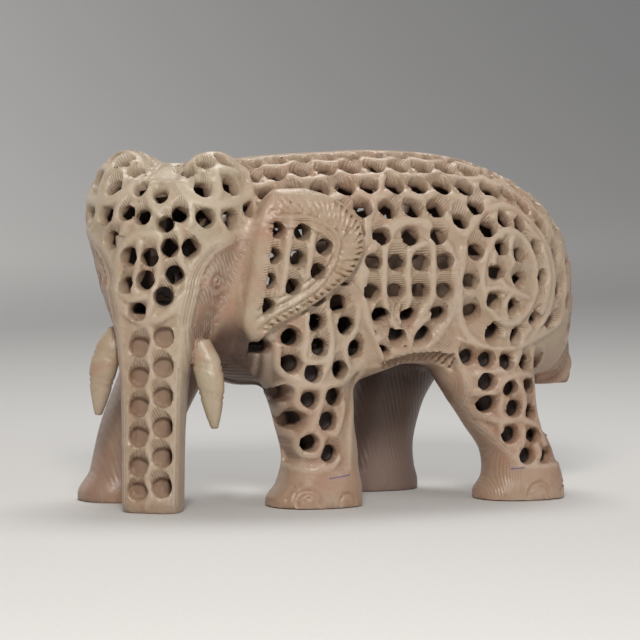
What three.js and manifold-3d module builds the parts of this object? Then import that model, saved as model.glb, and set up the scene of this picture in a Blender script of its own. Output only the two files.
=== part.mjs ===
// A standing elephant carved from one block of soapstone.
// The body, head and ears are a thin hollow shell pierced with drilled openwork,
// and a small calf elephant is left standing on the floor of the hollow.
// Frame: millimetres, +Z up, the elephant faces -X and its left side faces -Y.
// The origin is on the ground under the middle of the carving.
import * as THREE from 'three';
import { mergeVertices } from 'three/addons/utils/BufferGeometryUtils.js';
import Module from 'manifold-3d';

// ---- driving dimensions (mm, degrees) ----
const SHIFT = [-7.74, -0.53];     // puts the origin under the middle of the carving's box
const WALL = 4;                   // thickness of the openwork shell
const BELLY_FLOOR = 46;           // height of the floor of the hollow
const HEAD_AT = [-47.5, -3];      // plan position of the middle of the head
const HEAD_TURN = 53;             // the head looks round to its left
const NEAR_EAR_AT = [-33, -26.5];
const NEAR_EAR_TURN = -6;
const FAR_EAR_AT = [-53, 20];
const FAR_EAR_TURN = 20;
const HOLE = 2.8;                 // radius of the drilled holes
const PIT = 3.1;                  // radius of the blind pits on the trunk
const LEG_PIT = 2.8;              // radius of the blind pits on the legs
const PIT_DEPTH = 3.2;

// Sections run along one axis. Each row is the station, the middle of the section
// in the two cross directions, and its reach to the low and high side of each.
const TORSO = [
  [-46, 0, 66, 12, 12, 16, 22],
  [-38, 0, 66, 20, 20, 24, 32],
  [-24, 0, 67, 27, 27, 32, 36],
  [-6, 0, 68, 30, 30, 33, 36.5],
  [14, 0, 68, 31, 31, 29, 37.5],
  [34, 0, 67, 31, 31, 24, 38],
  [52, 0, 66, 30, 30, 27, 36],
  [66, 0, 64, 27, 27, 29, 31.8],
  [76, 0, 62, 21.5, 21.5, 27, 26.4],
  [83, 0, 60, 13, 13, 20, 18],
  [86.5, 0, 59, 3, 3, 8, 7],
];
// The straight lower flanks, which end in an edge along the belly.
const BELLY = [
  [-12, 0, 58, 26, 26, 19, 10],
  [6, 0, 58, 28.6, 28.6, 21.4, 10],
  [14, 0, 58, 29.4, 29.4, 19, 10],
  [22, 0, 58, 29.4, 29.4, 16.8, 10],
  [32, 0, 58, 29.2, 29.2, 16.8, 10],
  [41, 0, 58, 28.6, 28.6, 19, 10],
  [52, 0, 58, 27, 27, 19, 10],
];
const LEGS = {
  leftFront: [
    [0, -7, -19, 15, 14.5, 11.5, 11],
    [2, -7, -19, 15, 14.5, 11.5, 11],
    [7, -6, -19, 12.5, 13.2, 11, 11],
    [14, -6, -19, 10.8, 12, 10.5, 10.5],
    [25, -8, -19, 11.5, 12.5, 11, 10.5],
    [42, -11, -18, 14, 14, 12.5, 10.5],
    [60, -14, -15, 15, 14, 12, 10],
  ],
  leftRear: [
    [0, 61, -20, 14.5, 14.5, 11.5, 11],
    [2, 61, -20, 14.5, 14.5, 11.5, 11],
    [7, 61.5, -20, 12, 13.2, 11, 11],
    [14, 60, -20, 11, 12, 10.5, 10.5],
    [24, 54.5, -19.5, 12, 12.5, 11, 10.5],
    [38, 48, -18.5, 15, 17, 13, 10.5],
    [56, 45, -15, 18, 19, 12, 10],
  ],
  rightFront: [
    [0, -53, 15, 15.5, 14.5, 11, 11.5],
    [2, -53, 15, 15.5, 14.5, 11, 11.5],
    [9, -52, 15, 12.5, 13, 10.5, 11],
    [20, -50, 15, 12, 12.5, 10.5, 11],
    [32, -45, 15, 12.5, 13, 10.5, 12],
    [46, -36, 15, 15, 15, 10.5, 13],
    [60, -28, 13, 15, 15, 10, 12],
  ],
  rightRear: [
    [0, 30, 18.5, 14.5, 14.5, 11, 11.5],
    [2, 30, 18.5, 14.5, 14.5, 11, 11.5],
    [8, 30, 18.5, 12, 13, 11, 11],
    [15, 30.5, 18.5, 11, 12.2, 10.5, 10.5],
    [26, 33, 18.5, 12, 12.5, 10.5, 11],
    [40, 39, 18, 15, 15, 10.5, 13],
    [56, 44, 15, 18, 18, 10, 12],
  ],
};
// Head and trunk sections are in the head's own frame: it faces -X, its left is -Y.
const HEAD = [
  [47, -2, 0, 16, 12, 9, 9],
  [53, -1, 0, 21, 18, 13.5, 13.5],
  [60, -1, 0, 24, 22, 18, 18],
  [70, 0, 0, 24.5, 24, 21.5, 21.5],
  [82, 0, 0, 23.5, 24, 24.5, 24.5],
  [90, 0, 0, 21, 23, 24, 24],
  [97, 0, 0, 16, 21, 19, 19],
];
const DOME = { side: 12.2, back: 1, height: 89.5, radii: [16.5, 12.4, 16] };
const TRUNK = [
  [0, -17.5, 0, 7, 6, 8.4, 8.4],
  [3, -18, 0, 8, 6.5, 9, 9],
  [20, -18, 0, 7.6, 7, 9, 9],
  [38, -17, 0, 8.6, 8, 9.8, 9.8],
  [52, -14, 0, 11, 9, 12, 12],
  [66, -12, 0, 12, 10, 14, 14],
];
// Ear sections are in the ear's own frame: X runs back along it, Y through it.
const EAR = [
  [49.5, 3, 1.5, 1.4, 1.4, 3, 3],
  [53, 3.6, 1, 4, 4, 3.4, 3.4],
  [59, 8.6, 0.5, 9.4, 9.4, 3.6, 3.6],
  [65, 13.6, 0.2, 13.4, 13.4, 3.6, 3.6],
  [71, 17.2, 0, 16, 16, 3.6, 3.6],
  [78, 18.8, 0, 17.2, 17.2, 3.6, 3.6],
  [84, 18.6, 0.4, 16.2, 16.2, 3.6, 3.6],
  [89, 17.8, 1.4, 13.4, 13.4, 3.6, 3.6],
  [92.6, 16.4, 2.6, 9.6, 9.6, 3.4, 3.4],
  [95, 14, 3.6, 4.4, 4.4, 2.8, 2.8],
];
const TUSK = [
  [0, -15, 17.8, 0.7, 0.7, 0.5, 0.5],
  [4, -15, 17.2, 2, 2, 1.9, 1.9],
  [12, -15, 16.4, 3, 3, 3.7, 3.7],
  [20, -14, 14.6, 3.2, 3.2, 4.4, 4.4],
  [30, -12, 11, 3.2, 3.2, 4.2, 4.2],
];
const TUSK_TIP = { left: 24.5, right: 27.5 };   // heights of the two tips
const TAIL = [
  [36, 80, 0, 8, 6.6, 3.4, 3.4],
  [50, 80, 0, 8, 7, 3.2, 3.2],
  [66, 79, 0, 8, 8.2, 3, 3],
  [78, 76, 0, 8, 8.4, 2.8, 2.8],
  [88, 68, 0, 8, 10, 2.4, 2.4],
];
const TUFT = [
  [33, 81, 0, 6.4, 6.8, 4.6, 4.6],
  [36, 81, 0, 7.6, 7.8, 5.2, 5.2],
  [46, 80.5, 0, 7, 7.6, 5, 5],
  [50, 80, 0, 6, 6.4, 3.6, 3.6],
];
const CALF = {
  body: { at: [46, 0, 62], radii: [13.5, 14.5, 14] },
  neck: { at: [34, 2, 64], radii: [10, 8, 8] },
  head: { at: [22, -2, 67], radii: [10.2, 13, 10] },
  legs: [[39, -8], [54, -8], [39, 8], [54, 8]],
  legRadius: 4.6,
  trunk: [14.5, -2],
  trunkRadius: 3.6,
};

// ---- openwork layout ----
// Holes go straight into the hollow from the skin of the body, aimed at the spine line.
// "x" runs along the body and "t" is the distance round it from mid height, up is plus.
const SPINE = 66;
const BELLY_MEDALLION = { x: 26, t: 3.5, columns: 4, rows: 5, stepX: 8.2, stepT: 10.2 };
const SHOULDER = { x: -13, t: -17, columns: 3, rows: 2, stepX: 8.5, stepT: 9 };
const RUMP_RING = { x: 56, t: 6, radius: 12.5, count: 7 };
const BACK_ROWS = { from: 0, to: 60, step: 12, t: [30] };
const EAR_HOLES = { x: -24, t: 13, columns: 2, rows: 3, stepX: 9, stepT: 9 };
const DOME_RING = { radius: 8.4, count: 5 };
const PANEL = { columns: 3, from: 62, rows: 3, step: 8.4, spread: 7 };
const TRUNK_PITS = { rows: 6, top: 51, step: 9, side: 4.4, stagger: 1.6 };

// ---- helpers ----
const wasm = await Module();
wasm.setup();

// Smooth reading of a table of rows, where the first column is the station.
function readRow(rows, at) {
  let i = 0;
  while (i < rows.length - 2 && at > rows[i + 1][0]) i += 1;
  const low = rows[i];
  const high = rows[i + 1];
  const gap = high[0] - low[0];
  const q = Math.min(Math.max((at - low[0]) / gap, 0), 1);
  const slope = (k, j) => {
    if (k <= 0 || k >= rows.length - 1) {
      const a = Math.max(k - 1, 0);
      const b = Math.min(k + 1, rows.length - 1);
      return (rows[b][j] - rows[a][j]) / (rows[b][0] - rows[a][0]);
    }
    const before = (rows[k][j] - rows[k - 1][j]) / (rows[k][0] - rows[k - 1][0]);
    const after = (rows[k + 1][j] - rows[k][j]) / (rows[k + 1][0] - rows[k][0]);
    return before * after > 0 ? (2 * before * after) / (before + after) : 0;
  };
  const out = [];
  for (let j = 1; j < low.length; j += 1) {
    const a = low[j] * (2 * q ** 3 - 3 * q * q + 1) + high[j] * (3 * q * q - 2 * q ** 3);
    const b = slope(i, j) * gap * (q ** 3 - 2 * q * q + q);
    const c = slope(i + 1, j) * gap * (q ** 3 - q * q);
    out.push(a + b + c);
  }
  return out;
}

function stations(from, to, count) {
  const list = [];
  for (let i = 0; i <= count; i += 1) list.push(from + ((to - from) * i) / count);
  return list;
}

function squared(value, power) {
  return Math.sign(value) * Math.abs(value) ** (2 / power);
}

// A closed loft of rounded-square sections along Z, or along X when alongX is set.
function loft(rows, at, sides, power, { inset = 0, alongX = false } = {}) {
  const points = [];
  const faces = [];
  const place = (s, a, b) => (alongX ? points.push(s, a, b) : points.push(a, b, s));
  for (const s of at) {
    const [ca, cb, aLow, aHigh, bLow, bHigh] = readRow(rows, s);
    for (let k = 0; k < sides; k += 1) {
      const angle = (2 * Math.PI * (k + 0.5)) / sides;
      const da = squared(Math.cos(angle), power);
      const db = squared(Math.sin(angle), power);
      const ra = Math.max((da < 0 ? aLow : aHigh) - inset, 0.4);
      const rb = Math.max((db < 0 ? bLow : bHigh) - inset, 0.4);
      place(s, ca + da * ra, cb + db * rb);
    }
  }
  const ends = [at[0], at[at.length - 1]].map((s) => {
    const [ca, cb] = readRow(rows, s);
    place(s, ca, cb);
    return points.length / 3 - 1;
  });
  for (let i = 0; i < at.length - 1; i += 1) {
    for (let k = 0; k < sides; k += 1) {
      const a = i * sides + k;
      const b = i * sides + ((k + 1) % sides);
      faces.push(a, b, b + sides, a, b + sides, a + sides);
    }
  }
  const last = (at.length - 1) * sides;
  for (let k = 0; k < sides; k += 1) {
    const next = (k + 1) % sides;
    faces.push(ends[0], next, k, ends[1], last + k, last + next);
  }
  const geometry = new THREE.BufferGeometry();
  geometry.setAttribute('position', new THREE.Float32BufferAttribute(points, 3));
  geometry.setIndex(faces);
  return geometry;
}

function ball({ at, radii }, around = 16, high = 10) {
  const geometry = new THREE.SphereGeometry(1, around, high);
  geometry.rotateX(Math.PI / 2);
  geometry.scale(...radii);
  geometry.translate(...at);
  return geometry;
}

// A straight round peg from one point to another.
function peg(from, to, radius, sides) {
  const start = new THREE.Vector3(...from);
  const end = new THREE.Vector3(...to);
  const way = new THREE.Vector3().subVectors(end, start);
  const geometry = new THREE.CylinderGeometry(radius, radius, way.length(), sides);
  const turn = new THREE.Quaternion().setFromUnitVectors(new THREE.Vector3(0, 1, 0), way.clone().normalize());
  geometry.applyQuaternion(turn);
  geometry.translate(...start.add(end).multiplyScalar(0.5).toArray());
  return geometry;
}

function solid(geometry) {
  const bare = geometry.clone();
  bare.deleteAttribute('normal');
  bare.deleteAttribute('uv');
  const merged = mergeVertices(bare, 1e-4);
  return new wasm.Manifold(
    new wasm.Mesh({
      numProp: 3,
      vertProperties: new Float32Array(merged.attributes.position.array),
      triVerts: new Uint32Array(merged.index.array),
    }),
  );
}

function joined(pieces) {
  return pieces.reduce((whole, piece) => whole.add(piece));
}

// Turns a geometry from a part's own frame into the body's frame.
function setAt(geometry, [x, y], degrees) {
  geometry.rotateZ(THREE.MathUtils.degToRad(degrees));
  geometry.translate(x, y, 0);
  return geometry;
}

function headGeometry(geometry) {
  return setAt(geometry, HEAD_AT, HEAD_TURN);
}

function headPoint(x, y, z) {
  const turn = THREE.MathUtils.degToRad(HEAD_TURN);
  const px = HEAD_AT[0] + x * Math.cos(turn) - y * Math.sin(turn);
  const py = HEAD_AT[1] + x * Math.sin(turn) + y * Math.cos(turn);
  return [px, py, z];
}

// ---- the outer form ----
function outerForm() {
  const torsoAt = [-46, -42, -35, -24, -8, 14, 34, 52, 64, 72, 78, 82, 85, 86.5];
  const legAt = [0, 2, 5, 10, 18, 27, 36, 45, 54];
  const headAt = [47, 50, 55, 62, 71, 81, 90, 97];
  const pieces = [solid(loft(TORSO, torsoAt, 24, 2.35, { alongX: true }))];
  pieces.push(solid(loft(BELLY, [-12, 6, 14, 22, 32, 41, 52], 16, 5, { alongX: true })));
  for (const rows of Object.values(LEGS)) pieces.push(solid(loft(rows, legAt, 14, 2.3)));
  pieces.push(solid(headGeometry(loft(HEAD, headAt, 18, 2.2))));
  for (const side of [-1, 1]) {
    const at = [DOME.back, side * DOME.side, DOME.height];
    pieces.push(solid(headGeometry(ball({ at, radii: DOME.radii }, 14, 10))));
  }
  pieces.push(solid(headGeometry(loft(TRUNK, [0, 3, 20, 38, 52, 64], 12, 3))));
  pieces.push(solid(loft(TAIL, [36, 50, 66, 78, 88], 8, 4)));
  pieces.push(solid(loft(TUFT, [33, 36, 41, 46, 50], 12, 4)));
  return joined(pieces);
}

function ears() {
  const at = [49.5, 54, 60, 67, 75, 84, 90.5, 95];
  const near = setAt(loft(EAR, at, 12, 4), NEAR_EAR_AT, NEAR_EAR_TURN);
  const mirrored = EAR.map(([z, x, y, ...reach]) => [z, x, -y, ...reach]);
  const far = setAt(loft(mirrored, at, 12, 4), FAR_EAR_AT, FAR_EAR_TURN);
  return [solid(near), solid(far)];
}

function tusks() {
  return ['left', 'right'].map((name) => {
    const sign = name === 'left' ? -1 : 1;
    const rows = TUSK.map(([z, x, y, ...reach]) => [z + TUSK_TIP[name], x, sign * y, ...reach]);
    const low = TUSK_TIP[name];
    const at = [0, 2, 5, 10, 16, 23, 30].map((step) => low + step);
    return solid(headGeometry(loft(rows, at, 10, 2.4)));
  });
}

// ---- the hollow inside the body and head, less the calf ----
function calf() {
  const { body, neck, head, legs, legRadius, trunk, trunkRadius } = CALF;
  const floor = BELLY_FLOOR - 3;
  const pieces = [solid(ball(body, 14, 8)), solid(ball(neck, 10, 6)), solid(ball(head, 12, 8))];
  for (const [x, y] of legs) pieces.push(solid(peg([x, y, floor], [x, y, 60], legRadius, 8)));
  const [tx, ty] = trunk;
  pieces.push(solid(peg([tx, ty, floor], [tx + 1, ty, 66], trunkRadius, 8)));
  return joined(pieces);
}

function hollow() {
  const torsoAt = [-34, -24, -10, 8, 26, 44, 57, 67, 74, 78];
  const room = solid(loft(TORSO, torsoAt, 16, 2.35, { alongX: true, inset: WALL }));
  const skull = solid(headGeometry(loft(HEAD, [62, 70, 80, 90, 96], 12, 2.2, { inset: WALL })));
  const below = new THREE.BoxGeometry(200, 120, BELLY_FLOOR);
  below.translate(0, 0, BELLY_FLOOR / 2);
  const chamber = room.add(skull).subtract(solid(below));
  return chamber.subtract(calf());
}

// ---- drilled openwork ----
// Reach of the skin from the spine line, at station x and angle round the body.
function skin(x, angle) {
  const [cy, cz, yLow, yHigh, zLow, zHigh] = readRow(TORSO, x);
  const dy = Math.cos(angle);
  const dz = Math.sin(angle);
  let reach = 5;
  for (; reach < 60; reach += 0.25) {
    const a = Math.abs(dy * reach - cy) / (dy < cy ? yLow : yHigh);
    const z = SPINE + dz * reach - cz;
    const b = Math.abs(z) / (z < 0 ? zLow : zHigh);
    if (a ** 2.35 + b ** 2.35 > 1) break;
  }
  return reach;
}

// side is -1 on the left flank and 1 on the right; t is the distance round from mid height.
function bodyHole(x, t, side, radius = HOLE, beyond = 9) {
  const angle = t / 31;
  const round = side < 0 ? Math.PI - angle : angle;
  const reach = skin(x, round);
  const at = (r) => [x, r * Math.cos(round), SPINE + r * Math.sin(round)];
  return solid(peg(at(reach - WALL - 1.6), at(reach + beyond), radius, 5));
}

function grid({ x, t, columns, rows, stepX, stepT }, side, round = false) {
  const cuts = [];
  for (let c = 0; c < columns; c += 1) {
    const dx = c - (columns - 1) / 2;
    const short = round && Math.abs(dx) > 1 ? 1 : 0;
    for (let r = short; r < rows - short; r += 1) {
      const dt = r - (rows - 1) / 2 + (c % 2 ? 0.2 : 0);
      cuts.push(bodyHole(x + dx * stepX, t - dt * stepT, side));
    }
  }
  return cuts;
}

function bodyOpenwork() {
  const cuts = [];
  for (const side of [-1, 1]) {
    cuts.push(...grid(BELLY_MEDALLION, side, true));
    if (side < 0) cuts.push(...grid(SHOULDER, side));
    cuts.push(...grid(EAR_HOLES, side));
    for (let i = 0; i < RUMP_RING.count; i += 1) {
      const a = (2 * Math.PI * i) / RUMP_RING.count;
      const x = RUMP_RING.x + RUMP_RING.radius * Math.cos(a);
      cuts.push(bodyHole(x, RUMP_RING.t + RUMP_RING.radius * Math.sin(a), side));
    }
    cuts.push(bodyHole(RUMP_RING.x, RUMP_RING.t, side));
    BACK_ROWS.t.forEach((t, row) => {
      for (let x = BACK_ROWS.from + 5 * row; x <= BACK_ROWS.to; x += BACK_ROWS.step) {
        cuts.push(bodyHole(x, t, side));
      }
    });
  }
  return cuts;
}

function headOpenwork() {
  const cuts = [];
  const drill = (y, z, lean) => {
    const from = headPoint(-12, y * 0.8, z);
    const to = headPoint(-34, y + lean, z);
    cuts.push(solid(peg(from, to, HOLE, 5)));
  };
  for (const side of [-1, 1]) {
    for (let i = 0; i < DOME_RING.count; i += 1) {
      const a = (2 * Math.PI * (i + 0.5)) / DOME_RING.count;
      const y = side * DOME.side + DOME_RING.radius * Math.cos(a);
      drill(y, DOME.height + DOME_RING.radius * 0.9 * Math.sin(a), side * 2);
    }
  }
  for (let c = 0; c < PANEL.columns; c += 1) {
    for (let r = 0; r < PANEL.rows; r += 1) {
      const y = (c - 1) * PANEL.spread;
      drill(y, PANEL.from + r * PANEL.step - (c === 1 ? 4 : 0), 0);
    }
  }
  return cuts;
}

function blindPits() {
  const cuts = [];
  for (let r = 0; r < TRUNK_PITS.rows; r += 1) {
    for (const side of [-1, 1]) {
      const z = TRUNK_PITS.top - r * TRUNK_PITS.step - side * TRUNK_PITS.stagger;
      const [cx, , front] = readRow(TRUNK, z);
      const face = cx - front;
      const y = side * TRUNK_PITS.side;
      cuts.push(solid(peg(headPoint(face + PIT_DEPTH, y, z), headPoint(face - 3, y, z), PIT, 5)));
    }
  }
  for (const [name, side] of [['leftFront', -1], ['leftRear', -1], ['rightFront', 1], ['rightRear', 1]]) {
    for (let r = 0; r < 2; r += 1) {
      const z = 33 - r * 8;
      const [cx, cy, , , low, high] = readRow(LEGS[name], z);
      const face = cy + side * (side < 0 ? low : high);
      const x = cx + (r % 2 ? 3.4 : -3.4);
      const from = [x, face - side * PIT_DEPTH, z];
      cuts.push(solid(peg(from, [x, face + side * 4, z], LEG_PIT, 5)));
    }
  }
  return cuts;
}

// ---- assembly ----
function carve() {
  const [nearEar, farEar] = ears();
  let stone = joined([outerForm(), nearEar, farEar, ...tusks()]);
  stone = stone.subtract(hollow());
  for (const cut of [...bodyOpenwork(), ...headOpenwork(), ...blindPits()]) stone = stone.subtract(cut);
  return stone;
}

function toGeometry(stone) {
  const { vertProperties, triVerts } = stone.getMesh();
  const geometry = new THREE.BufferGeometry();
  geometry.setAttribute('position', new THREE.Float32BufferAttribute(vertProperties, 3));
  geometry.setIndex(Array.from(triVerts));
  geometry.translate(SHIFT[0], SHIFT[1], 0);
  return geometry;
}

const soapstone = new THREE.MeshStandardMaterial({ color: 0xb8a389, roughness: 0.5, metalness: 0 });
const elephant = new THREE.Mesh(toGeometry(carve()), soapstone);
elephant.name = 'carved_elephant';

const group = new THREE.Group();
group.add(elephant);

export default group;
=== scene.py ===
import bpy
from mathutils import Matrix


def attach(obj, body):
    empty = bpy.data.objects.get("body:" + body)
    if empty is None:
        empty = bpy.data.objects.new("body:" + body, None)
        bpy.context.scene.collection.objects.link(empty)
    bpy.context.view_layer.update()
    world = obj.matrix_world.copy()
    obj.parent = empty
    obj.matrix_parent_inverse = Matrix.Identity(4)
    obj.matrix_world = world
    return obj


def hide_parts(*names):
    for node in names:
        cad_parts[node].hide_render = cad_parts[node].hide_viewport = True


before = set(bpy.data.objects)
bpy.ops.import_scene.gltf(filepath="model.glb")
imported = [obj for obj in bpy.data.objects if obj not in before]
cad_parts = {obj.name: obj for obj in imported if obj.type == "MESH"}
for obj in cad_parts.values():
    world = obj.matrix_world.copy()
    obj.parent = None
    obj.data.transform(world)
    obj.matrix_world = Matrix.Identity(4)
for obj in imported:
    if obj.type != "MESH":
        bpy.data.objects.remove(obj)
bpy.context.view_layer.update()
import math
import bpy
import numpy as np
from mathutils import Matrix, Vector

CELL = 0.5          # grid spacing of the carved field, mm
TRIANGLES = 196000
F32 = np.float32
NO_HOLE = 9.0                          # stands for "no drilled hole near", mm

# ---------------------------------------------------------------- sizes, mm
# x runs from the head to the tail, y to the elephant's right, z up from the ground
SHIFT = (-7.74, -0.53, 0.0)            # from these axes to the frame's
SPINE = 66.0                           # height of the line the flank's chart rolls round
RUMP = 50.0                            # x where the rump starts to round off
ROUND = 34.0                           # radius that the flank's chart is rolled on
WALL = 4.0                             # thickness of the openwork skin
FLOOR = 46.0                           # height of the hollow's floor
NECK = 54.8                            # height where the trunk's chart takes over from the head's
FAR_INSET = 0.7                        # how much smaller the far side's holes are, in radius
TRUNK_PIT, LEG_PIT, THROUGH = 3.4, 5.4, 9.5      # how deep the drilled holes go
HATCH_PITCH = 0.74                     # spacing of the fine chisel lines
HEAD_AT, HEAD_TURN = (-47.5, -3.0), 53.0         # the head's upright axis, and its turn in degrees
# A row of a form's table: the place along its axis, the centre there on the two cross axes, then the
# reach below and above the centre on the first cross axis, and the same two on the second.
TORSO = ((-46, 0, 66, 12, 12, 16, 22), (-38, 0, 66, 20, 20, 24, 32), (-24, 0, 67, 27, 27, 32, 36),
         (-6, 0, 68, 30, 30, 33, 36.5), (14, 0, 68, 31, 31, 29, 37.5), (34, 0, 67, 31, 31, 24, 38),
         (52, 0, 66, 30, 30, 27, 36), (66, 0, 64, 27, 27, 29, 31.8), (76, 0, 62, 21.5, 21.5, 27, 26.4),
         (83, 0, 60, 13, 13, 20, 18), (86.5, 0, 59, 3, 3, 8, 7))
LEGS = (((0, -7, -19, 15, 14.5, 11.5, 11), (2, -7, -19, 15, 14.5, 11.5, 11),
         (7, -6, -19, 12.5, 13.2, 11, 11), (14, -6, -19, 10.8, 12, 10.5, 10.5),
         (25, -8, -19, 11.5, 12.5, 11, 10.5), (42, -11, -18, 14, 14, 12.5, 10.5),
         (60, -14, -15, 15, 14, 12, 10)),
        ((0, 61, -20, 14.5, 14.5, 11.5, 11), (2, 61, -20, 14.5, 14.5, 11.5, 11),
         (7, 61.5, -20, 12, 13.2, 11, 11), (14, 60, -20, 11, 12, 10.5, 10.5),
         (24, 54.5, -19.5, 12, 12.5, 11, 10.5), (38, 48, -18.5, 15, 17, 13, 10.5),
         (56, 45, -15, 18, 19, 12, 10)),
        ((0, -53, 15, 15.5, 14.5, 11, 11.5), (2, -53, 15, 15.5, 14.5, 11, 11.5),
         (9, -52, 15, 12.5, 13, 10.5, 11), (20, -50, 15, 12, 12.5, 10.5, 11),
         (32, -45, 15, 12.5, 13, 10.5, 12), (46, -36, 15, 15, 15, 10.5, 13), (60, -28, 13, 15, 15, 10, 12)),
        ((0, 30, 18.5, 14.5, 14.5, 11, 11.5), (2, 30, 18.5, 14.5, 14.5, 11, 11.5),
         (8, 30, 18.5, 12, 13, 11, 11), (15, 30.5, 18.5, 11, 12.2, 10.5, 10.5),
         (26, 33, 18.5, 12, 12.5, 10.5, 11), (40, 39, 18, 15, 15, 10.5, 13), (56, 44, 15, 18, 18, 10, 12)))
HEAD = ((47, -2, 0, 16, 12, 9, 9), (53, -1, 0, 21, 18, 13.5, 13.5), (60, -1, 0, 24, 22, 18, 18),
        (70, 0, 0, 24.5, 24, 21.5, 21.5), (82, 0, 0, 23.5, 24, 24.5, 24.5), (90, 0, 0, 21, 23, 24, 24),
        (97, 0, 0, 16, 21, 19, 19))
TRUNK = ((0, -17.5, 0, 7, 6, 8.4, 8.4), (3, -18, 0, 8, 6.5, 9, 9), (20, -18, 0, 7.6, 7, 9, 9),
         (38, -17, 0, 8.6, 8, 9.8, 9.8), (52, -14, 0, 11, 9, 12, 12), (66, -12, 0, 12, 10, 14, 14))
EAR = ((49.5, 3, 1.5, 1.4, 1.4, 3, 3), (53, 3.6, 1, 4, 4, 3.4, 3.4), (59, 8.6, 0.5, 9.4, 9.4, 3.6, 3.6),
       (65, 13.6, 0.2, 13.4, 13.4, 3.6, 3.6), (71, 17.2, 0, 16.0, 16.0, 3.6, 3.6),
       (78, 18.8, 0, 17.2, 17.2, 3.6, 3.6), (84, 18.6, 0.4, 16.2, 16.2, 3.6, 3.6),
       (89, 17.8, 1.4, 13.4, 13.4, 3.6, 3.6), (92.6, 16.4, 2.6, 9.6, 9.6, 3.4, 3.4),
       (95, 14, 3.6, 4.4, 4.4, 2.8, 2.8))
BELLY = ((-12, 0, 58, 26, 26, 19, 10), (6, 0, 58, 28.6, 28.6, 21.4, 10), (14, 0, 58, 29.4, 29.4, 19, 10),
         (22, 0, 58, 29.4, 29.4, 16.8, 10), (32, 0, 58, 29.2, 29.2, 16.8, 10),
         (41, 0, 58, 28.6, 28.6, 19, 10), (52, 0, 58, 27, 27, 19, 10))
# where each ear starts (x, y), its turn in degrees, and its side
EARS = ((-33.0, -26.5, -6.0, -1), (-53.0, 20.0, 20.0, 1))
TUSK = ((0, -15, 17.6, 1.2, 1.2, 1.0, 1.0), (4, -15, 17.2, 2.2, 2.2, 2.2, 2.2),
        (12, -15, 16.4, 3, 3, 3.9, 3.9), (19, -14.2, 14.8, 3.2, 3.2, 4.4, 4.4),
        (26, -12.8, 12.4, 2.6, 2.6, 2.8, 2.8))
TUSK_TIPS = ((-1, 24.5), (1, 27.5))              # side, and height of the tip
TAIL = ((36, 80, 0, 8, 6.6, 3.4, 3.4), (50, 80, 0, 8, 7, 3.2, 3.2), (66, 79, 0, 8, 8.2, 3, 3),
        (78, 76, 0, 8, 8.4, 2.8, 2.8), (88, 68, 0, 8, 10, 2.4, 2.4))
TUFT = ((33, 81, 0, 6.4, 6.8, 4.6, 4.6), (36, 81, 0, 7.6, 7.8, 5.2, 5.2), (46, 80.5, 0, 7, 7.6, 5, 5),
        (50, 80, 0, 6, 6.4, 3.6, 3.6))


# ---------------------------------------------------------------- field helpers
def rows_at(table, at):
    """A table's values at places along it, on a smooth curve that never overshoots its rows."""
    k = np.asarray(table, float)
    x = k[:, 0]
    s = np.diff(k[:, 1:], axis=0) / np.diff(x)[:, None]
    m = np.zeros_like(k[:, 1:])
    p = s[1:] * s[:-1]
    m[1:-1] = np.where(p > 0, 2 * p / np.where(p > 0, s[1:] + s[:-1], 1), 0)
    m[0], m[-1] = s[0], s[-1]
    t = np.clip(at, x[0], x[-1])
    i = np.clip(np.searchsorted(x, t, side="right") - 1, 0, len(x) - 2)
    h = (x[i + 1] - x[i])[..., None]
    q = (t - x[i])[..., None] / h
    out = (k[i, 1:] * (2 * q**3 - 3 * q**2 + 1) + k[i + 1, 1:] * (3 * q**2 - 2 * q**3)
           + m[i] * h * (q**3 - 2 * q**2 + q) + m[i + 1] * h * (q**3 - q**2))
    return np.moveaxis(out, -1, 0).astype(F32)


def section(s, a, b, table, power, lo, hi, inset=0.0):
    """Distance to a form whose rounded cross-section follows a table along s, from lo to hi."""
    ca, cb, al, ah, bl, bh = rows_at(table, s)
    da, db = a - ca, b - cb
    ra = np.maximum(np.where(da < 0, al, ah) - inset, 0.4)
    rb = np.maximum(np.where(db < 0, bl, bh) - inset, 0.4)
    rho = (np.abs(da / ra)**power + np.abs(db / rb)**power)**(1 / power)
    far = np.hypot(da, db) * (1 - 1 / np.maximum(rho, 1e-3))
    d = np.where(rho > 0.5, far, (rho - 1) * np.minimum(ra, rb))
    return np.maximum(d, np.maximum(lo - s, s - hi)).astype(F32)


def ball(x, y, z, c, r):
    """Distance to an ellipsoid."""
    dx, dy, dz = x - c[0], y - c[1], z - c[2]
    rho = np.sqrt((dx / r[0])**2 + (dy / r[1])**2 + (dz / r[2])**2)
    far = np.sqrt(dx * dx + dy * dy + dz * dz) * (1 - 1 / np.maximum(rho, 1e-3))
    return np.where(rho > 0.5, far, (rho - 1) * min(r)).astype(F32)


def smin(a, b, k):
    """The smaller of two distances, with the join rounded over a width k."""
    h = np.clip(0.5 + 0.5 * (b - a) / k, 0, 1)
    return b * (1 - h) + a * h - k * h * (1 - h)


def step(x, a, b):
    """Rises smoothly from 0 at a to 1 at b."""
    t = np.clip((x - a) / (b - a), 0, 1)
    return t * t * (3 - 2 * t)


def turned(x, y, at, degrees):
    """Places measured from a point, on axes turned by some degrees."""
    t = math.radians(degrees)
    dx, dy = x - at[0], y - at[1]
    return dx * math.cos(t) + dy * math.sin(t), -dx * math.sin(t) + dy * math.cos(t)


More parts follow.
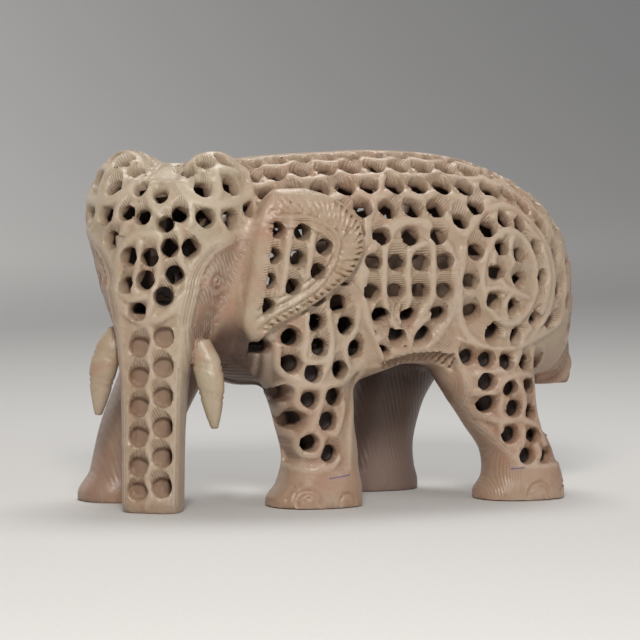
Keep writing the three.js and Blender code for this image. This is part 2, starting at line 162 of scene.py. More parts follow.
# ---------------------------------------------------------------- carving charts
class Chart:
    """A flat drawing of one region's carving, laid on the form by carving()."""

    def __init__(self, u0, u1, v0, v1, ground=0.7, lines=(0.0, 0.0), hatch=0.0, res=0.2):
        self.u0, self.v0, self.res = u0, v0, res
        self.U, self.V = np.meshgrid(np.arange(u0, u1, res, dtype=F32), np.arange(v0, v1, res, dtype=F32),
                                     indexing="ij")
        self.D = np.full(self.U.shape, ground, F32)                            # depth
        self.H = np.full(self.U.shape, NO_HOLE, F32)                           # distance to the nearest hole
        self.P = (lines[0] * self.U + lines[1] * self.V).astype(F32)           # phase of the chisel lines
        self.M = np.full(self.U.shape, hatch, F32)                             # strength of the chisel lines
        self.L = np.zeros(self.U.shape, F32)                                   # raised ribs

    def put(self, mask, **values):
        """Sets any of the chart's layers where the mask is true."""
        for name, value in values.items():
            setattr(self, name, np.where(mask, value, getattr(self, name)).astype(F32))

    def window(self, u, v, reach):
        n, m = self.U.shape
        i0 = max(int((u - reach - self.u0) / self.res), 0)
        i1 = min(int((u + reach - self.u0) / self.res) + 2, n)
        j0 = max(int((v - reach - self.v0) / self.res), 0)
        j1 = min(int((v + reach - self.v0) / self.res) + 2, m)
        if i0 >= i1 or j0 >= j1:
            return None
        return slice(i0, i1), slice(j0, j1)

    def hole(self, u, v, r=2.7):
        w = self.window(u, v, r + 4)
        if w:
            d = np.hypot(self.U[w] - u, self.V[w] - v) - r
            self.H[w] = np.minimum(self.H[w], d)

    def leaf(self, u, v, aim, length=7.5, width=3.5, deep=2.3, bend=0.0, hatch=60.0, r=2.7, shallow=0.25):
        """A drop-shaped gouge that deepens to the hole at its round end."""
        w = self.window(u, v, length + width + 1)
        if not w:
            return
        c, s = math.cos(math.radians(aim)), math.sin(math.radians(aim))
        du, dv = self.U[w] - u, self.V[w] - v
        a = du * c + dv * s
        b = -du * s + dv * c - bend * np.clip(a, 0, length)**2 / length
        t = np.clip(a / length, 0, 1)
        half = width * (1 - t)**0.62 * (1 + 0.9 * t)
        edge = np.where(a < 0, np.hypot(a, b) - width, np.abs(b) - half)
        edge = np.where(a > length, np.hypot(a - length, b), edge)
        slope = deep * (1 - t)**1.3 + shallow
        inside = step(-edge, 0.0, 0.9)
        keep = edge < 0
        self.D[w] = np.where(keep, slope * inside, self.D[w])
        q = math.radians(hatch)
        self.P[w] = np.where(keep, a * math.cos(q) + b * math.sin(q), self.P[w])
        self.M[w] = np.where(keep, step(-edge, 0.1, 0.7), self.M[w])
        if r > 0:
            self.hole(u, v, r)

    def rib(self, points, width=0.75, level=0.0, groove=False):
        """A raised vine along a line of points; a grooved one has two fine lines along it."""
        for (a0, b0), (a1, b1) in zip(points[:-1], points[1:]):
            length = math.hypot(a1 - a0, b1 - b0)
            w = self.window((a0 + a1) / 2, (b0 + b1) / 2, length / 2 + width + 1.6)
            if not w or length < 1e-6:
                continue
            du, dv = self.U[w] - a0, self.V[w] - b0
            t = np.clip((du * (a1 - a0) + dv * (b1 - b0)) / length**2, 0, 1)
            d = np.hypot(du - t * (a1 - a0), dv - t * (b1 - b0))
            f = step(d, width * 0.55, width + 0.75)
            target = level + (0.28 * np.clip(1 - d / (width * 0.42), 0, 1) if groove else 0)
            self.D[w] = np.minimum(self.D[w], self.D[w] * f + target * (1 - f))
            self.M[w] = self.M[w] * step(d, width * 0.8, width + 0.3)
            self.L[w] = np.maximum(self.L[w], 1 - step(d, width * 0.3, width + 0.3))
            if groove:
                across = (du * (b1 - b0) - dv * (a1 - a0)) / length
                on = d < width + 0.2
                self.P[w] = np.where(on, across * 0.82 - HATCH_PITCH / 4, self.P[w])
                self.M[w] = np.where(on, 0.95 * (1 - step(d, width - 0.3, width + 0.2)),
                                     self.M[w] * step(d, width + 0.2, width + 1.0))

    def leaves(self, spots, *shape, **style):
        """A leaf at each (u, v, aim), or (u, v, aim, hole radius)."""
        for u, v, aim, *r in spots:
            self.leaf(u, v, aim, *shape, **(dict(style, r=r[0]) if r else style))

    def vine(self, width, *points, **style):
        self.rib(sweep(*points), width, **style)

    def read(self, name, u, v, outside=0.0):
        img = getattr(self, name)
        fu = (u - self.u0) / self.res
        fv = (v - self.v0) / self.res
        n, m = img.shape
        ok = (fu >= 0) & (fv >= 0) & (fu < n - 1.001) & (fv < m - 1.001)
        i = np.clip(fu.astype(np.int32), 0, n - 2)
        j = np.clip(fv.astype(np.int32), 0, m - 2)
        a = (fu - i).astype(F32)
        b = (fv - j).astype(F32)
        val = (img[i, j] * (1 - a) * (1 - b) + img[i + 1, j] * a * (1 - b)
               + img[i, j + 1] * (1 - a) * b + img[i + 1, j + 1] * a * b)
        return np.where(ok, val, F32(outside)).astype(F32)


def arc(u, v, ru, rv, start, end, count=40):
    return [(u + ru * math.cos(math.radians(start + (end - start) * i / count)),
             v + rv * math.sin(math.radians(start + (end - start) * i / count))) for i in range(count + 1)]


def wave(p, q, swing, turns=1.0, count=26):
    """A line from p to q that swings from side to side."""
    out = []
    du, dv = q[0] - p[0], q[1] - p[1]
    n = math.hypot(du, dv) or 1
    for i in range(count + 1):
        t = i / count
        k = math.sin(2 * math.pi * turns * t) * swing
        out.append((p[0] + du * t - dv / n * k, p[1] + dv * t + du / n * k))
    return out


def sweep(*points, count=9):
    """A smooth curve through a few points."""
    p = [points[0], *points, points[-1]]
    out = []
    for four in zip(p, p[1:], p[2:], p[3:]):
        for j in range(count):
            t = j / count
            out.append(tuple(0.5 * (2 * b + (c - a) * t + (2 * a - 5 * b + 4 * c - d) * t**2
                                    + (3 * b - a - 3 * c + d) * t**3) for a, b, c, d in zip(*four)))
    return out + [points[-1]]


MEDALLION = (18.6, -0.8, 15.6, 20.8)    # centre and half sizes on the flank's chart
SCROLL = (53.6, 2.0)                    # centre of the rump's scroll


def belly_edge(u):
    """Height of the belly's lower edge on the flank's chart."""
    return -23.9 - 2.8 * ((u - 27) / 19)**2


def flank():
    c = Chart(-48, 104, -64, 60, 0.8, (0.35, 1.0), 0.35)
    mu, mv, mru, mrv = MEDALLION
    su, sv = SCROLL
    # rows along the upper flank and over the back
    for row, (t, shift) in enumerate(((24.2, 4.5), (31.4, 0.4), (38.6, 4.6), (45.6, 0.0))):
        for i in range(-5, 11):
            u = shift + 8.0 * i
            if u < -41 or (row == 0 and u > 30) or u > (44, 50, 64, 56)[row]:
                continue
            c.leaf(u, t, (58, 122)[row % 2], 7.6, 3.5, 2.3, bend=(-0.12, 0.12)[row % 2], hatch=75, r=2.75)
        end = 50 if row == 0 else 62
        c.rib(wave((-46, t + 4.3), (end, t + 3.6), (1.2, -1.2)[row % 2], turns=6.5, count=110), 0.8)
    # rump: one large scroll of leaves, with rings of smaller ones round it
    for ring, (ru, rv, count, first) in enumerate(((22.5, 29.5, 17, 12), (30.0, 36.5, 21, 4),
                                                   (37.0, 43.0, 25, 9), (44.0, 49.5, 28, 0))):
        for i in range(count):
            a = first + 360.0 * i / count
            u = su + ru * math.cos(math.radians(a))
            v = sv + rv * math.sin(math.radians(a))
            if u < 50 + 3 * ring or v > 44 or v < -19 or 104 < a % 360 < 300:
                continue
            hand = 1 - 2 * (ring % 2)
            c.leaf(u, v, a + 66 * hand, 7.2, 3.3, 2.2, bend=0.12 * hand, hatch=70, r=2.6)
    c.leaves(((40.5, 11, 80), (38.4, 1, 95), (39.4, -9.6, 100), (47, -16.6, 35), (56.5, -18, 20),
              (65.4, -12.6, 60), (45.4, 18.4, 50), (52, 21.8, 20), (59.6, 20, -20), (65.6, 12, -50),
              (67.2, 1.6, -80), (36, 20.4, 75), (42.4, 25, 60)), 6.8, 3.3, 2.3, bend=0.1, hatch=70, r=2.7)
    c.leaves(((49.6, 12.4, 65), (57.4, 10, 95), (57, 1.4, 120), (47.6, 4, 75), (46.6, -6, 60),
              (54.6, -8.6, 150)), 6.6, 3.3, 2.4, bend=-0.14, hatch=65, r=2.6)
    for grow in (0, 5.6, 8.2, 16.2, 18.6, 26.0, 33.5):
        ring = arc(su, sv, 11.0 + grow, 15.6 + grow, -78, 112 if grow else 275, 80)
        c.rib([p for p in ring if -18.6 < p[1] < 40], 0.8)
    c.vine(0.75, (61, -5), (55, -3), (49.5, 0.5), (46.6, 8), (50, 16))
    c.vine(0.7, (52, -13), (51, -7), (53.4, -3.2))
    c.vine(0.7, (54, 7), (53, 12), (55.6, 16.6))
    c.vine(0.7, (44, -2), (47.6, -1.4), (51, -2.2))
    c.vine(1.0, (36.4, 12), (35, 3), (34.8, -6), (36.6, -14), (42, -19.0), (49, -20.6), (57, -20.4),
           (66, -18.0), (74, -14), groove=True)
    c.vine(0.9, (32, 21.4), (36, 16.4), (38.6, 17.4), (45, 24.6), (49, 29.6), (50, 37))
    # belly medallion: an upright oval of ribs and columns of leaves
    inside = ((c.U - mu) / mru)**2 + ((c.V - mv) / mrv)**2 < 1
    c.put(inside, D=1.1, H=np.maximum(c.H, 3.0), M=0.4)
    for v, us, lean in ((15.8, (9.4, 19, 28), -6), (7.8, (6.2, 14, 22, 30), 0),
                        (-2.2, (5.8, 13.6, 21.8, 30), 0), (-10.4, (9.4, 18.2, 28.4), 10),
                        (-17, (15.2, 23.6), 14)):
        for u in us:
            c.leaf(u, v, 90 + lean * (u - mu) / 8, 7.2 if v < 14 else 5.4, 3.45, 2.3, bend=0.0, hatch=4,
                   r=2.8)
    c.vine(0.8, (25, 19.6), (16, 19.2), (10.6, 13.6), (9.7, 4), (10, -5), (13.4, -12.6), (19.0, -16.4),
           (22, -13), (26, -10))
    c.vine(0.75, (23.6, 13.4), (18.4, 10.6), (17.6, 3), (17.9, -5), (15.6, -12))
    c.vine(0.75, (25.6, 18.4), (26.0, 9), (25.9, 0), (25.2, -6), (20.6, -13))
    c.vine(0.7, (19.4, -16.6), (19.4, -21))
    c.rib(arc(mu, mv, mru, mrv, 0, 360, 90), 1.0, groove=True)
    # between the ear and the medallion
    c.leaves(((1.2, 17, 85), (-6.4, 16, 90), (-2.4, 8, 85), (-3, -1.4, 80), (-10, 6, 90)), 7.0, 3.3, 2.3,
             hatch=6, r=2.7)
    c.vine(0.85, (14, 34), (8.6, 27), (4.4, 18), (2.4, 8), (1.8, -2), (4.4, -10))
    # lower flank: fine slanted lines, and the toothed band on the belly's edge
    oval = ((c.U - mu) / (mru + 1.0))**2 + ((c.V - mv) / (mrv + 1.0))**2 < 1
    low = (c.V < -13) & ~oval & (c.U > 2) & (c.U < 35.4 + 0.2 * (c.V + 13))
    slant = math.radians(60)
    c.put(low, D=0.5, H=NO_HOLE, M=1.0, P=c.U * math.cos(slant) + c.V * math.sin(slant))
    c.leaves(((5.4, -17.6, 80), (10.4, -22.0, 80)), 5.4, 2.9, 2.2, r=2.3)
    c.put(c.V < belly_edge(c.U) - 0.5, D=0.1, H=NO_HOLE, M=0.0)
    c.rib([(u, belly_edge(u) + 2.6) for u in range(4, 42, 2)], 0.5)
    for i in range(18):
        u = 4.4 + 2.05 * i
        w = c.window(u, belly_edge(u), 3.6)
        dv = c.V[w] - belly_edge(u)
        du = c.U[w] - u - 0.35 * dv
        tooth = 2.1 * (1 - step(np.abs(du), 0.3, 0.95))
        c.D[w] = np.where(np.abs(dv) < 2.4, np.maximum(c.D[w], tooth), c.D[w])
    c.D *= step(c.U, -44, -40) * (1 - step(c.V, 51, 53))
    c.put((c.U > 92) | (c.V > 48.6), H=NO_HOLE)
    return c


def head_front():
    c = Chart(-66, 66, 44, 124, 0.6, (0.8, 0.6), 0.35)
    for s in (-1, 1):
        # domes: a scroll of leaves inside a ring
        for u, v, aim in ((17.6, 95.4, 60), (28.4, 95, 150), (23.4, 104.4, 20), (33.4, 103, 200),
                          (40.4, 92.6, 120), (44, 100.4, 100), (17, 86.2, 120), (25.6, 85.4, 150),
                          (33.6, 87, 160), (9, 87.8, 70), (15.4, 104, 60)):
            c.leaf(s * u, v, aim if s > 0 else 180 - aim, 6.6, 3.3, 2.3, bend=s * 0.1, hatch=70,
                   r=3.0 if u > 12 else 2.7)
        c.rib(arc(s * 25.2, 99.6, 14.6, 9.6, 0, 360, 60), 0.9, groove=True)
        c.vine(0.75, (s * 20, 108), (s * 23.4, 101), (s * 22.8, 94), (s * 19, 90.6))
        c.vine(0.75, (s * 24, 100.4), (s * 29, 100), (s * 34, 98))
        c.vine(0.85, (s * 6.6, 106), (s * 9, 97), (s * 14, 91.4), (s * 22, 89.6), (s * 33, 91), (s * 44, 96))
        c.vine(0.75, (s * 21.4, 90.6), (s * 20.8, 86), (s * 23.8, 81.6))
        c.vine(0.7, (s * 29.6, 90.6), (s * 29.4, 87), (s * 31.6, 84))
        c.vine(0.8, (s * 10.6, 95), (s * 12.6, 89), (s * 12.0, 84.6))
    c.leaves(((-2.2, 94.2, 80), (6.6, 96.4, 100), (3.4, 86.8, 95), (-4.6, 84.4, 80), (13.6, 79.4, 110)),
             6.4, 3.2, 2.3, hatch=70, r=2.6)
    c.vine(0.8, (2.6, 101), (2.2, 93), (-1.4, 88.4), (-6, 84.6), (-9.4, 81))
    c.vine(0.75, (8, 90.4), (8.4, 84), (10.6, 78))
    # oval panel that runs down on to the trunk
    mid, half = -0.6 + 0.10 * (68 - c.V), 9.4 + 0.24 * (c.V - 60)
    panel = (np.abs(c.U - mid) < half) & (c.V > 52) & (c.V < 80.6)
    c.put(panel, D=1.0, H=np.maximum(c.H, 3.0))
    for v, us, r in ((77.4, (-12.0, -5.8), 2.75), (74.6, (0.2, 6.6), 2.75), (69.6, (-7.4,), 2.8),
                     (68.0, (1.2,), 2.8), (66.4, (7.2,), 2.4), (63.4, (-4.2,), 2.8), (58.8, (3.2,), 2.7)):
        for u in us:
            c.leaf(u, v, 90 + 3 * (u + 1), 5.8, 3.2, 2.2, hatch=70, r=r)
    c.vine(0.95, (-2.6, 81), (2, 81.4), (6.6, 79.8), (10.0, 75.4), (10.6, 69), (9.4, 63), (6.6, 58.6),
           (2.0, 56.2), (-2.6, 56.6), (-6.6, 59.4), (-9, 63), groove=True)
    c.vine(0.75, (-3, 80.4), (-2.6, 74), (-2.0, 67.6), (-1.0, 62), (0.4, 56))
    c.vine(0.7, (3.6, 79), (3.6, 72.4), (4.6, 67), (3.0, 63))
    c.vine(0.7, (-9, 80), (-8.8, 74.6), (-10.4, 71))
    c.vine(0.7, (9.6, 66), (5.4, 62.4), (0.6, 63.4))
    # cheeks: plain and polished behind a double border, with strokes round the eye
    for s in (-1, 1):
        line = ((8.4, 43), (8.8, 57), (10.4, 65), (13.0, 72), (17.6, 77.4), (24.6, 80.6), (31.6, 83.2),
                (37, 88), (44, 93), (52, 94))
        lu, lv = zip(*sweep(*line))
        a = s * c.U
        bound = np.interp(c.V, lv, lu)
        cheek = (a > bound) & (c.V < 94)
        c.put(cheek, D=0.35, H=NO_HOLE, M=0.0)
        c.rib([(s * u, v) for u, v in zip(lu, lv)], 0.9, groove=True)
        c.rib([(s * (u + 2.6), v - 1.0) for u, v in zip(lu, lv)], 0.6)
        border = (a - bound > -0.8) & (a - bound < 4.2) & (c.V < 92)
        c.put(border, P=(a - bound) * 0.8, M=0.9 * step(a - bound, -0.8,
                                                        0.0) * (1 - step(a - bound, 3.4, 4.2)))
        eu, ev = s * 22.2, 67.4
        w = c.window(eu, ev, 4.0)
        d = np.hypot(c.U[w] - eu, c.V[w] - ev)
        c.D[w] = np.where(d < 2.2, 0.85 - 0.85 * (1 - step(np.abs(d - 1.25), 0.2, 0.6)), c.D[w])
        for grow in (0.0, 1.5):
            c.vine(0.4, (s * (17.4 - grow), 67 + grow), (s * 19.4, 70.4 + grow), (s * 22.6, 71.2 + grow),
                   (s * 27.6, 69.0 + grow), (s * 30.6, 70.6 + grow), level=0.05)
        c.vine(0.36, (s * 18, 66), (s * 20.0, 64.4), (s * 23.4, 64.2), (s * 27, 66), level=0.05)
        for bu, bv, n, step_u, step_v, slant in ((17.4, 62.4, 6, 1.5, -0.3, 0.9),
                                                 (18, 59, 6, 1.5, -0.4, 0.9), (25, 62.8, 6, 0.5, -1.3, 2.6),
                                                 (29, 79, 7, 0.3, -1.2, 2.2),
                                                 (17.6, 55.6, 8, 1.4, 0.25, 0.2)):
            for i in range(n):
                u, v = s * (bu + step_u * i), bv + step_v * i
                c.rib([(u, v), (u + s * slant, v - 1.3 + 0.4 * slant)], 0.24, level=0.85)
        for i in range(15):
            v = 50 + 1.8 * i
            u = s * (float(np.interp(v, lv, lu)) + 4.6)
            w = c.window(u, v, 1.2)
            c.D[w] = np.maximum(c.D[w], 0.95 * (1 - step(np.hypot(c.U[w] - u, c.V[w] - v), 0.3, 0.7)))
    for s in (-1, 1):
        for u, v, aim in ((12, 111, 60), (21, 113.4, 20), (31, 113, -10), (40, 110.6, -40), (46, 104, -80),
                          (27, 118, 0), (37, 117, -30)):
            c.leaf(s * u, v, aim if s > 0 else 180 - aim, 6.4, 2.6, 0.9, bend=s * 0.1, hatch=75, r=0)
    notch = (np.abs(c.U) < 9) & (c.V > 99.5)
    c.put(notch, D=0.3, H=NO_HOLE)
    c.D *= 1 - step(np.abs(c.U), 50, 54)
    c.put(np.abs(c.U) > 48, H=NO_HOLE)
    return c


def trunk_front():
    c = Chart(-16, 16, -2, 64, ground=0.55)
    for side, first in ((1, 48.6), (-1, 51.6)):
        for i in range(6):
            v = max(first - 8.75 * i, 6.8)
            c.leaf(side * 3.5 - 0.7, v, 90 + side * 14, 6.4, 3.4, 2.7, bend=side * 0.06, hatch=85,
                   r=2.85 if v > 7 else 2.2)
    c.rib(wave((-0.7, 57.6), (-0.7, 1.0), 0.7, turns=6.3, count=90), 0.7)
    for side in (-1, 1):
        c.rib([(side * 10.0 - 0.2, 64), (side * 9.4 - 0.3, 54), (side * 8.1 - 0.4, 44),
               (side * 7.7 - 0.4, 34), (side * 7.5 - 0.4, 20), (side * 7.3 - 0.4, -1)], 0.85, groove=True)
        c.rib([(side * 10.6 - 0.4, 64), (side * 9.9 - 0.4, 40), (side * 9.4 - 0.4, 20)], 0.5)
    edge = np.abs(c.U + 0.4) > 8.9
    c.put(edge, D=np.clip(c.D, 0.2, 0.3), M=0.8, P=c.U * 0.9)
    c.D *= 1 - step(-c.V, -1.6, 0)
    return c


def left_front_leg():
    c = Chart(-38, 16, -2, 70, 0.7, (0.7, 0.7), 0.4)
    c.leaves(((-4.4, 60.8, 60), (-11.4, 55.2, 75), (-1.6, 54.2, 70), (-19, 51, 150), (-10.4, 48, 60),
              (1.6, 47.4, 100), (-19, 43.2, 100), (-12.6, 40.2, 70), (-3.6, 41.2, 80), (-27, 57, 110),
              (-27, 48, 110), (-19.6, 60, 90), (-11.6, 63, 90)), 6.4, 3.3, 2.3, bend=0.1, hatch=70, r=2.65)
    c.leaves(((-20.4, 34.6, 90, 2.4), (-13.4, 32.4, 80, 2.5), (-5.8, 33.2, 75, 2.8), (-17, 26.4, 80, 2.6),
              (-7.8, 26, 105, 2.9), (-12.8, 19.6, 90, 2.6), (-17.6, 15.4, 100, 2.2), (-6.8, 16.4, 80, 2.6)),
             5.6, 3.2, 2.2, hatch=70)
    c.vine(0.95, (-24, 36.4), (-17, 36.9), (-9, 36.6), (-1, 38.4), (4.4, 43.4), groove=True)
    c.vine(0.75, (-23, 48), (-22.4, 41.6), (-18, 38.2), (-11, 37.0))
    c.vine(0.75, (-8.0, 58.4), (-6.6, 50.6), (-7.4, 44), (-12, 37.4))
    c.vine(0.7, (-14.6, 57.6), (-14.8, 50.6), (-15.6, 44.4), (-9, 44.2), (-6.4, 50))
    c.vine(0.75, (1.6, 60), (1.2, 52.6), (-1.6, 47.4), (-0.4, 42), (4.2, 41))
    c.vine(0.8, (-9.6, 36.4), (-10.6, 31.6), (-11.8, 27), (-13.0, 23.8))
    c.vine(0.75, (-13.0, 23.8), (-16.0, 20.4), (-14.8, 16.4), (-10.8, 16.2), (-9.6, 20.2), (-12.4, 24.2))
    c.vine(0.7, (-17.4, 36), (-17.2, 31), (-13.4, 28.8))
    c.vine(0.7, (-11.6, 27.4), (-6, 22.0), (-3.4, 26), (-2.4, 31))
    c.vine(0.7, (-20.4, 31), (-20.6, 24), (-17.2, 21.6))
    c.vine(0.8, (-17.6, 12.6), (-12.4, 11.2), (-6.4, 12.4), (-4, 15))
    shin = (c.U < -23.4 - 0.16 * (c.V - 36)) & (c.V < 46)
    calf = (c.U > 0.4 + 0.24 * np.maximum(c.V - 22, 0)) & (c.V < 42)
    c.put(shin | calf | (c.V < 11.4), D=0.2, H=NO_HOLE, M=0.55 * (c.V > 11.4), P=c.U + 0.15 * c.V)
    c.vine(0.9, (-25.8, 58), (-25.4, 47), (-23.6, 36), (-21.4, 24), (-19.0, 13))
    c.vine(0.6, (-28.2, 58), (-27.8, 47), (-26.0, 36))
    c.vine(0.85, (5.4, 42), (3.4, 33), (0.6, 22), (0.0, 12))
    c.vine(0.9, (3.4, 62), (4.6, 56), (8.4, 50), (11, 44))
    nails(c, ((-13.4, 5.2), (-1.0, 4.0), (-24.0, 3.4)))
    return c


def nails(c, toes):
    """Toe nails: nested half rounds standing on the sole."""
    for u, r in toes:
        w = c.window(u, 1.6, r + 1.4)
        if not w:
            continue
        up = c.V[w] - 1.6
        d = np.hypot(c.U[w] - u, up)
        ring = 0.95 - 0.9 * (1 - step(np.abs(d - r * 0.95), 0.35, 1.0))
        ring = ring - 0.9 * (1 - step(np.abs(d - r * 0.48), 0.3, 0.85))
        ring = np.where(d < r * 0.34, 0.2, ring)
        c.D[w] = np.where((d < r + 0.6) & (up > -0.4), np.maximum(ring, 0), c.D[w])


def knee(x):
    """Height of the rib under the rump scroll, where the rear leg's own carving begins."""
    return 46.8 + 0.014 * (x - 51)**2


def left_rear_leg():
    c = Chart(26, 88, -2, 54, 0.7, (0.8, 0.6), 0.4)
    heights, border = (10, 12.5, 19, 24, 29, 35, 40, 46), (57, 55.5, 48.6, 43, 39.6, 39.0, 37.2, 33.6)
    c.leaves(((38.6, 44.2, 100, 2.3), (44.6, 43.2, 110, 2.4), (51.4, 42.2, 70, 2.5), (58.6, 42.0, 60, 2.4),
              (44.4, 36.6, 50, 2.8), (52.4, 34.4, 80, 2.4), (45.2, 29.8, 60, 2.8), (54.0, 28.2, 70, 2.6),
              (59.8, 34.6, 70, 2.3), (60, 27, 80, 2.1), (53.0, 20.2, 110, 2.6), (61.0, 19.6, 110, 2.2),
              (58.6, 13.6, 105, 2.5), (65.4, 13.4, 110, 1.7), (66.4, 22, 100, 1.7), (66.6, 31, 90, 1.8),
              (66.4, 41, 90, 1.8)), 5.8, 3.1, 2.2, bend=0.1, hatch=70)
    c.vine(0.8, (41, 38.6), (47, 39.6), (53, 41), (57, 45))
    c.vine(0.8, (40.6, 33), (46.6, 33.4), (50.4, 37), (55.6, 38.6), (61, 38))
    c.vine(0.85, (41.4, 27.4), (45.6, 25.4), (51.4, 24.4), (57, 26.4), (57.4, 32), (54.8, 36.6))
    c.vine(0.7, (49.4, 31.2), (49.2, 27), (52, 24.6))
    c.vine(0.75, (49.6, 25), (51.4, 17), (56.4, 16.6), (57.4, 21.4))
    c.vine(0.75, (57, 25), (60.6, 23.6), (64, 22), (65.6, 17))
    c.vine(0.7, (56, 17), (55.6, 12), (60, 10.8), (63, 14), (62, 17))
    c.vine(0.7, (63, 46), (62.8, 38), (63, 30), (64, 22))
    front = c.U < np.interp(c.V, heights, border)
    c.put(front | (c.V < 10.4), D=0.2, H=NO_HOLE, M=0.6 * ((c.V > 1.8) & front),
          P=c.U + 0.30 * (c.V - 24) * (c.V > 24))
    c.rib([(np.interp(v, heights, border), v) for v in np.arange(11, 46, 1.5)], 0.9, groove=True)
    c.rib([(x, knee(x)) for x in range(36, 78, 2)], 1.0)
    nails(c, ((62.6, 5.2), (74.2, 4.0), (52.0, 1.2)))
    c.rib([(56, 10.6), (76, 10.4)], 0.4)
    return c


def ear_face():
    """Distance from the free edge sets the band, beads and double ribs round a panel of three columns."""
    c = Chart(-10, 46, 44, 102, 1.15, (0.2, 1.0))
    zs = np.linspace(49.6, 94.9, 90)
    k = rows_at(EAR, zs)
    free = [(k[0][i] + k[2][i], zs[i]) for i in range(len(zs))]
    free += [(14 - 6.5 * t / 8, 94.9 - 0.2 * t / 8) for t in range(1, 9)]
    along = 0.0
    reach = np.full(c.U.shape, 99.0, F32)
    trail = np.zeros(c.U.shape, F32)
    for (a0, b0), (a1, b1) in zip(free[:-1], free[1:]):
        length = math.hypot(a1 - a0, b1 - b0)
        if length < 1e-4:
            continue
        t = ((c.U - a0) * (a1 - a0) + (c.V - b0) * (b1 - b0)) / length**2
        q = np.clip(t, 0, 1)
        d = np.hypot(c.U - a0 - q * (a1 - a0), c.V - b0 - q * (b1 - b0))
        near = d < reach
        reach = np.where(near, d, reach)
        trail = np.where(near, along + q * length, trail)
        along += length
    mid, half = rows_at(EAR, c.V[0])[0][None, :], rows_at(EAR, c.V[0])[2][None, :]
    inside = (np.abs(c.U - mid) < half) & (c.V > 49.5) & (c.V < 95)
    c.S = np.where(inside, -np.minimum(reach, c.U - mid + half),
                   np.minimum(reach, np.abs(c.U - mid + half))).astype(F32)
    wide = 3.2 + 4.6 * step(trail, 20, 42)
    c.leaves(((8.4, 82.6, 75), (7.2, 75, 90), (6, 67.8, 92), (5.8, 60.2, 88), (16.2, 82, 80),
              (14.8, 74.4, 92), (13.4, 66, 100), (23, 77.6, 110), (21, 70.4, 95)), 5.6, 3.1, 2.0, hatch=10,
             r=2.45)
    c.vine(0.75, (12.6, 86), (11.4, 76), (10.2, 66), (8.0, 57))
    c.vine(0.75, (19.8, 84), (18.4, 75), (17.4, 67), (13, 61))
    left = -0.2 + (c.V - 53) * 0.12 + 2.6 * step(c.V, 50, 56)
    band = reach < wide
    slant = trail + 0.75 * reach
    flute = np.abs((slant / 2.2) % 1.0 - 0.5) * 2
    groove = 0.85 * step(flute, 0.25, 1.0) * step(reach, 1.0, 1.8) * step(reach, wide + 0.3, wide - 1.2)
    pit = (1 - step(np.abs(reach - 1.7), 0.45, 0.8)) * step(flute, 0.3, 0.75)
    c.put(band, D=np.maximum(0.10 + groove, 1.15 * pit), M=0.0)
    c.put((reach < wide + 1.6) | (c.U < left + 1.4), H=NO_HOLE)
    c.put(reach < 1.0, D=0.05)
    for off, thick in ((0.8, 0.62), (3.3, 0.55)):
        line = np.abs(reach - wide - off)
        c.put(line < 1.25, D=np.minimum(np.maximum(c.D, 1.0), 1.15 * step(line, thick * 0.5, thick + 0.5)))
        line = np.abs(c.U - left - off)
        c.put((line < 1.25) & (reach > wide), D=np.minimum(c.D, 1.15 * step(line, thick * 0.5, thick + 0.5)))
    c.put((c.U < left) | ((c.V > 88.6) & (c.U < 8.4)), D=0.1, M=0.0)
    return c


# ---------------------------------------------------------------- the elephant's form
def torso_form(x, y, z):
    return smin(section(x, y, z, TORSO, 2.35, -46, 86.5), section(x, y, z, BELLY, 5, -12, 52), 3)


def head_form(x, y, z):
    hx, hy = turned(x, y, HEAD_AT, HEAD_TURN)
    h = section(z, hx, hy, HEAD, 2.2, 47, 97)
    for s in (-1, 1):
        h = smin(h, ball(hx, hy, z, (1, s * 12.2, 89.5), (16.5, 12.4, 16)), 4)
    h = smin(h, ball(hx, hy, z, (1, 0, 89.5), (15, 11, 12)), 3)
    return smin(h, section(z, hx, hy, TRUNK, 3.4, 0, 64), 6)


def body_form(x, y, z):
    b = torso_form(x, y, z)
    for table in LEGS:
        b = smin(b, section(z, x, y, table, 2.3, 0, 56), 6)
    return b


def calf_form(x, y, z):
    """The small calf that stands in the hollow."""
    c = ball(x, y, z, (46, 0, 62), (13.5, 14.5, 14))
    c = smin(c, ball(x, y, z, (34, 2, 64), (10, 8, 8)), 3)
    c = smin(c, ball(x, y, z, (22, -2, 67), (10.2, 13, 10)), 2)
    c = smin(c, ball(x, y, z, (4, -2, 68), (12.5, 12, 10)), 3)
    for cx, cy in ((39, -8), (54, -8), (39, 8), (54, 8)):
        c = smin(c, np.maximum(np.hypot(x - cx, y - cy) - 4.6, z - 58), 2)
    return smin(c, np.maximum(np.hypot(x - 14.5, y + 2) - 3.6, z - 64), 2)


def hollow_form(x, y, z):
    """The room inside the torso and the skull, above its floor."""
    room = section(x, y, z, TORSO, 2.35, -34, 78, inset=WALL)
    hx, hy = turned(x, y, HEAD_AT, HEAD_TURN)
    skull = section(z, hx, hy, HEAD, 2.2, 61, 95, inset=WALL)
    for s in (-1, 1):
        skull = smin(skull, ball(hx, hy, z, (1, s * 12.2, 89.5), (12.5, 8.4, 12)), 2)
    return np.maximum(smin(room, skull, 3), FLOOR - z)


def ear_form(u, w, z, side):
    """The ear as a slab of carved outline, its front edge bending in to the cheek."""
    cw = np.interp(z, [r[0] for r in EAR], [r[2] for r in EAR]) * -side - side * 2.4 * (1 - step(u, 0, 11))
    thick = 3.5 - 1.2 * step(z, 90, 95) - 1.0 * (1 - step(z, 49, 53))
    face = np.abs(w - cw) - thick
    rim = CHARTS["ear"].read("S", u, z, 20.0)
    return (0.5 * (face + rim + np.sqrt((face - rim)**2 + 1.6))).astype(F32)


CHARTS = {"flank": flank(), "head": head_front(), "trunk": trunk_front(), "lf": left_front_leg(),
          "lr": left_rear_leg(), "ear": ear_face()}


